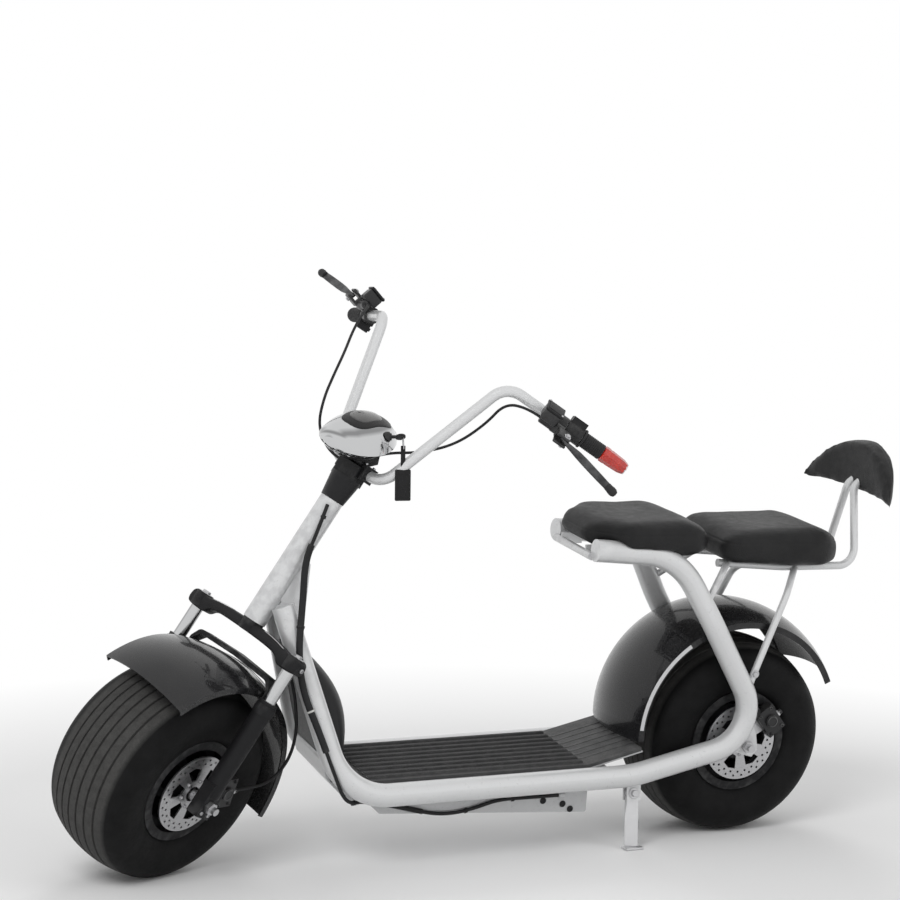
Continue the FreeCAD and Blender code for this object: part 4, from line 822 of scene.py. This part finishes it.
cable("harness_sleeve", [along_harness(2, 6)], 7.5, VEHICLE, "frame")
pale, dark = Kit(), Kit()
tie(pale, HARNESS[5], HARNESS[6], 7.5)
for k, radius in ((0, 4.0), (3, 7.5), (8, 4.0), (13, 4.0), (15, 4.0)):
    tie(dark, HARNESS[k], HARNESS[k + 1], radius)
pale.done("pale_tie", VEHICLE, TIE, "frame", "cable_rubber")
for x, y, z in ((490, 115, 129), (442, 115, 118), (423, 115, 105)):
    dark.turned([(0, 0), (7, 0), (7.5, 1), (6, 3), (4.2, 4), (4.2, 3), (0, 2.6)], (x, y, z), (0, 1, 0), 24)
dark.done("ties_and_grommets", VEHICLE, SHEATH, "frame", "cable_rubber")
CALIPERS = (("front", CALIPER_FRONT, "fork"), ("rear", CALIPER_REAR, "frame"))
for end, place, body in CALIPERS:
    nut = Kit()
    nut.turned([(0, 0), (7.5, 0), (7.5, 4), (6.2, 5), (6.2, 8), (5, 9), (5, 12), (0, 12)], (0, 14, 28),
               steps=6)
    nut.done(end + "_hose_nut", place, ZINC, body, "steel")

# Key in the lock, with its ring and a leather tag

lock_turn = Vector((0, 0, 1)).rotation_difference(Vector((-23, 15, 3))).to_matrix().to_4x4()
KEY = POD @ Matrix.Translation((-26, 52, 15)) @ lock_turn
hole = KEY @ Vector((0, 0, 40))
blade = (KEY.to_3x3() @ Vector((0, 1, 0))).normalized()
keys = Kit()
keys.tube([hole + 0.011 * (Vector((0, 0, -1)) + blade * math.cos(a) + Vector((0, 0, math.sin(a))))
           for a in (2 * math.pi * k / 40 for k in range(41))], 0.0011, 8)
keys.done("key_ring", ROW, ZINC, "fork", "steel")
tag = Kit()
tag.block((-5, -1.4, -52), (5, 1.4, 4), 1.2)
tag.block((-17, -3, -112), (17, 3, -46), 2.6)
tag.block((-12.5, -3.8, -106), (12.5, 3.8, -56), 1.0)
tag.turned([(0, 2.6), (3, 2.6), (3.4, 2), (3.4, -2), (3, -2.6), (0, -2.6)], (0, 0, -4), (0, 1, 0), 20)
hanging = Matrix.Translation(hole + Vector((0, 0, -0.0225))) @ Matrix.Rotation(-0.15, 4, "Z")
hanging = hanging @ Matrix.Scale(0.001, 4)
tag.done("key_tag", hanging, TAG, "fork", "seat_leather")


# Handlebar, one bent tube
half_bar = [(-18, 74, BAR_LOW), BAR_BEND, BAR_TIP]
bar_line = [(x, -y, z) for x, y, z in half_bar[::-1]] + half_bar
bar = Kit()
bar.tube(bent(bar_line, [0, 50, 48, 48, 50, 0]), 12, 40)
bar.done("bent_handlebar", FORK, SILVER, "fork", "frame_paint", ("handlebar",), 60)


# Bars: master cylinders, levers, grips, switches and the red lamp


def both_bars(name, draw, finish, slot, replaces=(), sharp=34):
    """A control drawn for each bar; up is given with the sign of that side."""
    kit = Kit()
    for side, turn in CONTROL_TURN.items():
        before = kit.so_far()
        draw(kit, -side)
        kit.carry(before, on_bar(side, 0, turn))
    kit.done(name, ROW, finish, "fork", slot, replaces, sharp)


def box(kit, up, ahead, rise, along, soft=1.5):
    low, high = sorted((up * rise[0], up * rise[1]))
    kit.block((ahead[0], low, along[0]), (ahead[1], high, along[1]), soft)


def draw_master(kit, up):
    kit.turned([(12.1, 126), (18, 126), (19, 127), (19, 149), (18, 150), (12.1, 150)], steps=40, closed=True)
    kit.turned([(0, 92), (9, 92), (10.5, 94), (10.5, 120), (12, 124), (12, 148), (0, 150)], (32, 0, 0),
               steps=28)
    box(kit, up, (10, 30), (-9, 9), (128, 148), 3)
    box(kit, up, (14, 52), (6, 33), (87, 127), 5)
    for rise in ((6, 12), (-12, -6)):
        box(kit, up, (36, 70), rise, (136, 167), 2.6)
    box(kit, up, (34, 48), (-11, 11), (134, 150), 3)


def draw_lid(kit, up):
    box(kit, up, (12.5, 53.5), (32.5, 38), (85.5, 128.5), 2.2)
    box(kit, up, (17, 49), (37.6, 39.2), (90, 124), 1.2)


def draw_bolts(kit, up):
    for x, z in ((17, 90), (49, 124)):
        kit.cap_screw((x, up * 38.5, z), (0, up, 0), 2.6, 1.6)
    kit.hex_bolt((60, up * 12, 158), (0, up, 0), 5, 4)
    kit.hex_bolt((60, -up * 12, 158), (0, -up, 0), 4.5, 3.4)
    for z in (131, 145):
        kit.cap_screw((-18.5, up * 3, z), (-1, 0, 0), 3, 2.6)


def squared(part):
    """Fills out an oval towards a rounded box."""
    return math.copysign(abs(part) ** 0.8, part)


def draw_lever(kit, up):
    rings = []
    across = Vector((0, 1, 0))
    for x, z, wide, thick in ((56, 151, 9, 4), (60, 157, 10, 7), (66, 168, 10, 8), (71, 181, 13, 8.5),
                              (77, 196, 17, 7), (86, 214, 18.5, 5.4), (97, 235, 18.5, 4.8),
                              (108, 257, 18, 4.8), (117, 275, 17, 5.2), (122, 285, 16, 6.5)):
        aim = Vector((0.47, 0, 0.88)) if z > 190 else Vector((0.4, 0, 0.92))
        side = aim.cross(across)
        rings.append([Vector((x, 0, z)) + across * (wide / 2 * squared(math.cos(a)))
                      + side * (thick / 2 * squared(math.sin(a)))
                      for a in (2 * math.pi * k / 24 for k in range(24))])
    kit.skin(rings)


def draw_tip(kit, up):
    kit.turned([(6.5, 0), (8.4, 1), (8.6, 8), (9.6, 14), (9.2, 20), (6.5, 25), (0, 27)], (117.5, 0, 276),
               (0.47, 0, 0.88), 24)


both_bars("master_cylinders", draw_master, COATED, "black_plastic", ("brake_masters",))
both_bars("reservoir_lids", draw_lid, MOULDED, "black_plastic")
both_bars("control_bolts", draw_bolts, ZINC, "steel")
both_bars("cast_levers", draw_lever, LEVER, "lever_metal", ("brake_levers",), 60)
both_bars("lever_tips", draw_tip, GRIP, "grip_rubber", (), 60)

grips = Kit()
for side, start, stop in ((1, 193, 246), (-1, 168, 312)):
    before = grips.so_far()
    line = [(12.1, start), (21, start), (21.6, start + 1.5), (21, start + 4), (17.4, start + 5)]
    z = start + 7
    while z < stop - 8:
        line += [(16.2, z), (17.0, z + 0.5), (17.3, z + 1.6), (17.0, z + 2.7), (16.2, z + 3.2)]
        z += 4.2
    line += [(17.2, stop - 4), (17.2, stop - 1), (16, stop), (12.1 if side == 1 else 0.0, stop)]
    if side == -1:
        line[0] = (0.0, start)
    grips.turned(line, steps=40, closed=side == 1)
    grips.carry(before, on_bar(side, 0))
grips.done("ribbed_grips", ROW, GRIP, "fork", "grip_rubber", ("grips",))
lamp_end = Kit()
lamp_end.turned([(0, 246.5), (15.5, 246.5), (18, 249), (18, 258), (17, 262), (17.4, 266), (15.8, 296),
                 (12.6, 307), (0, 311.5)], steps=8)
lamp_end.done("red_bar_lamp", on_bar(1, 0), RED, "fork", "red_lens", ("bar_end_lamp",), 20)
buttons = Kit()
for side, along, ahead, rise in ((1, 160, -14.5, 20), (1, 172, -14.5, 20), (1, 184, -14.5, 12),
                                 (-1, 159, -16.5, -14), (-1, 159, -16.5, -27)):
    before = buttons.so_far()
    y = -side * rise
    buttons.block((ahead - 3.5, y - 4, along - 3.6), (ahead + 2, y + 4, along + 3.6), 1.4)
    buttons.carry(before, on_bar(side, 0))
buttons.done("switch_buttons", ROW, GREY, "fork", "black_plastic")

# Fasteners, found on the surface that they sit on


def landed(node, spot, aim, place):
    """Where a line meets a piece, in the line's own frame."""
    turn = place.to_3x3()
    hit, where, _, _ = frame["nodes"][node].ray_cast(place @ Vector(spot), (turn @ Vector(aim)).normalized())
    return place.inverted() @ where if hit else None


def ring_of(draw, node, place, count, radius, y, size, start=0.0):
    """Screws in a circle round an axle, on the face seen from y."""
    out = math.copysign(1, y)
    for k in range(count):
        a = start + 2 * math.pi * k / count
        spot = landed(node, (radius * math.cos(a), y, radius * math.sin(a)), (0, -out, 0), place)
        if spot:
            draw(spot, (0, out, 0), size, 3.4)


for end, place, count, radius in (("front", FORK, 5, 52), ("rear", REAR_WHEEL, 9, 60)):
    kit = Kit()
    ring_of(kit.cap_screw, end + "_rotor", place, 6, 30, 160, 4.0, 0.5)
    ring_of(kit.hex_bolt, end + "_rim", place, count, radius, -160, 4.6)
    kit.done(end + "_hub_bolts", place, ZINC, end + "_wheel", "steel")


def land(draw, node, spot, place, size, high, sink=0.0):
    """A fastener on the side face that a line across the scooter meets."""
    out = math.copysign(1, spot[1])
    found = landed(node, spot, (0, -out, 0), place)
    if found:
        draw(found - Vector((0, sink * out, 0)), (0, out, 0), size, high)


frame_bolts = Kit()
for y in (1, -1):
    for x, z in ((-126, 600), (18, 316), (-14, 296)):
        land(frame_bolts.hex_bolt, "dropouts", (x, 150 * y, z), VEHICLE, 5.5, 4)
    land(frame_bolts.hex_bolt, "seat_struts", (0, 200 * y, 400), VEHICLE, 6.5, 5, 1.2)
    for x in (360, 376, 392):
        found = landed("seat_bracket", (x, 120 * y, 672), (0, -y, 0), VEHICLE)
        if found and abs(found.y) > 50:
            frame_bolts.hex_bolt(found, (0, y, 0), 4.5, 3.6)
frame_bolts.done("frame_bolts", VEHICLE, ZINC, "frame", "steel")

fork_bolts = Kit()
for y in (1, -1):
    fork_bolts.hex_bolt((0, 145 * y, 354), (0, 0, 1), 9.5, 5)
    for z in (232, 250):
        land(fork_bolts.cap_screw, "fender_brace", (-30, 160 * y, z), FORK, 4.6, 4)
    for x in (-12, 12):
        land(fork_bolts.cap_screw, "fork_legs", (x, 190 * y, -18), FORK, 4.0, 3.2)
    fork_bolts.cap_screw((-2, 168.6 * y, 336), (0, y, 0), 5, 4)
for x in (-30, 4):
    for y in (-28, 28):
        fork_bolts.cap_screw((x, y, 769), (0, 0, 1), 4, 3.6)
fork_bolts.done("fork_bolts", FORK, ZINC, "fork", "steel")

for end, place, body in CALIPERS:
    kit = Kit()
    kit.turned([(0, 0), (11.5, 0), (12.5, 0.8), (12.5, 1.6), (10, 2.4), (9.4, 1.4), (0, 1.2)], (0, 26, 6),
               (0, 1, 0), 32)
    for x, z in ((-27, -11), (27, -11), (-27, 21), (27, 21)):
        kit.cap_screw((x, 21, z), (0, 1, 0), 3.8, 3.4)
    kit.done(end + "_caliper_screws", place, COATED, body, "black_metal")

# Fenders: bright stay over the front one, lip strip on the rear one

stay = Kit()
high = [(119.5 * k / 12, math.sqrt(340.6 ** 2 - (119.5 * k / 12) ** 2) - 62.4) for k in range(12, -13, -1)]
arch = [(122, 216), (122, 236)] + high + [(-122, 236), (-122, 216)]
lean_back = math.radians(101)
stay.strap([(math.cos(lean_back) * r, y, math.sin(lean_back) * r) for y, r in arch], 13, 2.2, (1, 0, 0.2))
stay.done("front_fender_stay", FORK, SATIN, "fork", "steel")
strip = Kit()
lip, bow = 248.5, [math.radians(4 + 52 * k / 24) for k in range(25)]
for side in (1, -1):
    edge = [(12 + lip * math.cos(a), 118.6 * side, 30 + lip * math.sin(a)) for a in bow]
    strip.strap(edge, 9, 1.6, (0.3, 0, 1))
strip.done("rear_fender_strips", REAR_WHEEL, SATIN, "frame", "steel")

# Fork crown: one casting whose arms droop to the clamps on the stanchions


def softened(points):
    """Cuts the corners of a closed outline, twice."""
    points = [Vector(p) for p in points]
    for _ in range(2):
        points = [a.lerp(b, share) for a, b in zip(points, points[1:] + points[:1]) for share in (0.25, 0.75)]
    return points


half_crown = [(14, 361.5), (60, 360.5), (98, 356.5), (120, 351), (136, 354), (152, 355.5), (165, 352),
              (169, 342), (169, 328), (163, 320.5), (122, 319), (112, 323), (103, 333), (84, 337), (50, 338.5),
              (14, 339)]
crown_line = softened([(-y, z) for y, z in half_crown[::-1]] + half_crown)
after, before = crown_line[1:] + crown_line[:1], crown_line[-1:] + crown_line[:-1]
inward = [(a - b).normalized().orthogonal() for a, b in zip(before, after)]
crown = Kit()
crown.skin([[Vector((x, *(p + side * inset))) for p, side in zip(crown_line, inward)]
            for x, inset in ((-17, 3.2), (-16.2, 1.4), (-14, 0), (14, 0), (16.2, 1.4), (17, 3.2))])
for y in (1, -1):
    crown.turned([(0, 0), (19.5, 0), (21, 1.5), (21, 30), (19.5, 32), (0, 32)], (0, 145 * y, 322), steps=40)
crown.turned([(0, 0), (24, 0), (24, 26), (0, 26)], (0, 0, 339.5), steps=40)
crown.done("cast_crown", FORK, CAST, "fork", "black_casting", ("fork_crown",), 38)
# A bright satin steel strip along the top of each crown arm: a painted highlight, not a part of the casting
painted_highlight_strip = Kit()
for side in (1, -1):
    highlight_path = [(12.5, y * side, z) for y, z in ((48, 362.1), (70, 360.9), (92, 358.1), (112, 354.5))]
    painted_highlight_strip.strap(highlight_path, 2.6, 1.0)
painted_highlight_strip.done("crown_painted_highlight", FORK, SATIN, "fork", "steel")

# Moulded leg cover, bulging to the rear between the down tubes

cover = Kit()
rings = []
for k in range(21):
    t = 0.07 + 0.71 * k / 20
    high = math.sin(math.pi * min(1.0, max(0.0, (t - 0.02) / 0.80)) ** 0.85)
    swell = 10 + 76 * high
    half = 116 - 109 * t
    x, z = 966 + 119 * t, 181 + 394 * t
    ring = []
    for i in range(25):
        a = math.pi * i / 24
        back = swell * math.sin(a) ** 0.75 - 8
        ring.append(Vector((x - 0.957 * back, (half + 6 * math.sin(a) ** 2) * math.cos(a), z + 0.289 * back)))
    ring += [Vector((x + 0.957 * 10, half * u, z - 0.289 * 10)) for u in (-0.97, -0.5, 0, 0.5, 0.97)]
    rings.append(ring)
cover.skin(rings)
cover.done("moulded_leg_cover", VEHICLE, MOULDED, "frame", "black_plastic", ("leg_cover",), 50)

# Ends of the backrest's posts, bent back into the pad
ends = Kit()
for y in (1, -1):
    route = [(-300.2, 18.4 * y, 778), (-301, 15 * y, 790), (-306, 14 * y, 800), (-324, 13 * y, 814)]
    ends.tube(bent(route, [0, 30, 20, 0]), 9.4, 28)
ends.done("backrest_post_ends", VEHICLE, SILVER, "frame", "frame_paint", (), 60)

# Foot mat: fine ridges on each rib, and the ribs carried up its ramp

mat = Kit()
for y in (-104, -78, -52, -26, 0, 26, 52, 78, 104):
    for shift in (-3, 0, 3):
        mat.block((398, y + shift - 0.8, 211.2), (902, y + shift + 0.8, 212.8), 0.4)
for y in (-91, -65, -39, -13, 13, 39, 65, 91):
    for shift in (-5, 0, 5):
        mat.block((392, y + shift - 0.7, 206.8), (908, y + shift + 0.7, 208.2), 0.35)
    if y != 91:
        mat.strap([(x, y + 13, z) for x, z in ((396, 207.5), (384, 207.2), (322, 221.8), (262, 236))], 9, 2.4,
                  (0, 1, 0))
mat.done("mat_ridges", VEHICLE, MAT, "frame", "mat_rubber")

# Side stand: pivot bolt, twisted leg with its sole, and spring

PIVOT = Vector(JOINTS["side_stand_fold"]["pos_m"])
swing = Vector(JOINTS["side_stand_fold"]["axis"]).normalized()
to_foot = Vector((0.008122, 0.017172, -0.121131))
drop = to_foot.normalized()
STAND = from_mm(swing.cross(-drop), swing, -drop, PIVOT)
pivot = Kit()
for y in (1, -1):
    pivot.hex_bolt((0, 11.5 * y, 0), (0, y, 0), 8, 6)
pivot.done("stand_pivot_bolt", STAND, ZINC, "frame", "steel")
leg = Kit()
rings = []
wide, thick = 15.5, 4.6
for k in range(25):
    z = -8 - 108.5 * k / 24
    a = math.radians(-34) * min(1.0, max(0.0, (-z - 26) / 34))
    c, s = math.cos(a), math.sin(a)
    rings.append([Vector((c * u * wide - s * v * thick, s * u * wide + c * v * thick, z))
                  for u, v in flat_outline(0.94, 0.7)])
leg.skin(rings)
leg.turned([(6.2, -6), (14, -6), (15, -5), (15, 5), (14, 6), (6.2, 6)], (0, 0, 0), (0, 1, 0), 36, True)
level = STAND.inverted().to_3x3() @ Vector((0, 0, 1))
flat = Vector((0, 0, 1)).rotation_difference(level).to_matrix().to_4x4()
leg.block((-21, -9, 0.5), (21, 20, 6.3), 2, Matrix.Translation(STAND.inverted() @ (PIVOT + to_foot)) @ flat)
leg.done("stand_leg", STAND, SATIN, "side_stand", "black_metal", ("side_stand",))
coil = Kit()
coil.tube([(-13 + 4.2 * math.cos(a), -13.5 + 4.2 * math.sin(a), -10 - 2.4 * a / (2 * math.pi))
           for a in (math.pi * k / 8 for k in range(16 * 17))], 1.0, 6)
coil.done("stand_spring", STAND, ZINC, "side_stand", "steel")


# Light, floor and camera


def lamp(name, size, power, spot, aim):
    light = bpy.data.lights.new(name, "AREA")
    light.shape, light.size, light.energy = "DISK", size, power
    obj = bpy.data.objects.new(name, light)
    bpy.context.scene.collection.objects.link(obj)
    obj.location = spot
    obj.rotation_euler = (Vector(aim) - Vector(spot)).to_track_quat("-Z", "Y").to_euler()
    obj.visible_glossy = False


lamp("key_light", 2.2, 78, (2.6, 2.6, 3.4), (0, 0, 0.5))
lamp("fill_light", 2.6, 34, (-2.8, 3.4, 2.2), (0, 0, 0.6))
lamp("back_light", 2.0, 40, (-1.2, -3.6, 2.8), (0, 0, 0.7))

world = bpy.data.worlds.new("studio")
bpy.context.scene.world = world
world.use_nodes = True
air = Wiring(world.node_tree)
world.node_tree.nodes.clear()
look = air.add("LightPath")
through = air.sum("MAXIMUM", look.outputs["Is Glossy Ray"], look.outputs["Is Transmission Ray"])
seen = air.sum("MAXIMUM", look.outputs["Is Camera Ray"], through)
soft_air = air.add("Background", {"Color": (1, 1, 1, 1), "Strength": 0.50})
white_air = air.add("Background", {"Color": (1, 1, 1, 1), "Strength": 1.0})
both_air = air.add("MixShader", {0: seen, 1: soft_air.outputs[0], 2: white_air.outputs[0]})
air.tree.links.new(both_air.outputs[0], air.tree.nodes.new("ShaderNodeOutputWorld").inputs["Surface"])

floor_mesh = bpy.data.meshes.new("studio_floor")
floor_mesh.from_pydata([(-9, -9, 0), (9, -9, 0), (9, 9, 0), (-9, 9, 0)], [], [(0, 1, 2, 3)])
floor = bpy.data.objects.new("studio_floor", floor_mesh)
bpy.context.scene.collection.objects.link(floor)
ground = bpy.data.materials.new("pale_floor")
ground.use_nodes = True
g = Wiring(ground.node_tree)
ground.node_tree.nodes.clear()
spot = g.add("TexCoord").outputs["Object"]
far = g.ramp(g.add("VectorMath", {0: spot}, operation="LENGTH").outputs["Value"], 1.3, 2.4)
paths = g.add("LightPath")
shown = g.sum("MAXIMUM", paths.outputs["Is Camera Ray"], paths.outputs["Is Glossy Ray"])
paint = g.add("BsdfDiffuse", {"Color": (0.93, 0.93, 0.93, 1)})
glow = g.add("Emission", {"Color": (1, 1, 1, 1), "Strength": 1.0})
surface = g.add("MixShader", {0: g.sum("MULTIPLY", far, shown), 1: paint.outputs[0], 2: glow.outputs[0]})
g.tree.links.new(surface.outputs[0], g.tree.nodes.new("ShaderNodeOutputMaterial").inputs["Surface"])
floor_mesh.materials.append(ground)

eye = bpy.data.cameras.new("camera")
FOCAL_PIXELS, PHOTO_PIXELS = 2241.5, 900
eye.sensor_width = 36.0
eye.lens = eye.sensor_width * FOCAL_PIXELS / PHOTO_PIXELS
camera = bpy.data.objects.new("camera", eye)
bpy.context.scene.collection.objects.link(camera)
right, top = Vector((-0.92463, 0.38069, 0.01161)), Vector((-0.017285, -0.072393, 0.997226))
camera.matrix_world = Matrix((right, top, right.cross(top))).transposed().to_4x4()
camera.matrix_world.translation = REAR_AXLE + Vector((2.54250, 4.51540, 1.01790))
bpy.context.scene.camera = camera
bpy.context.scene.view_settings.view_transform = "Standard"

bpy.context.view_layer.update()
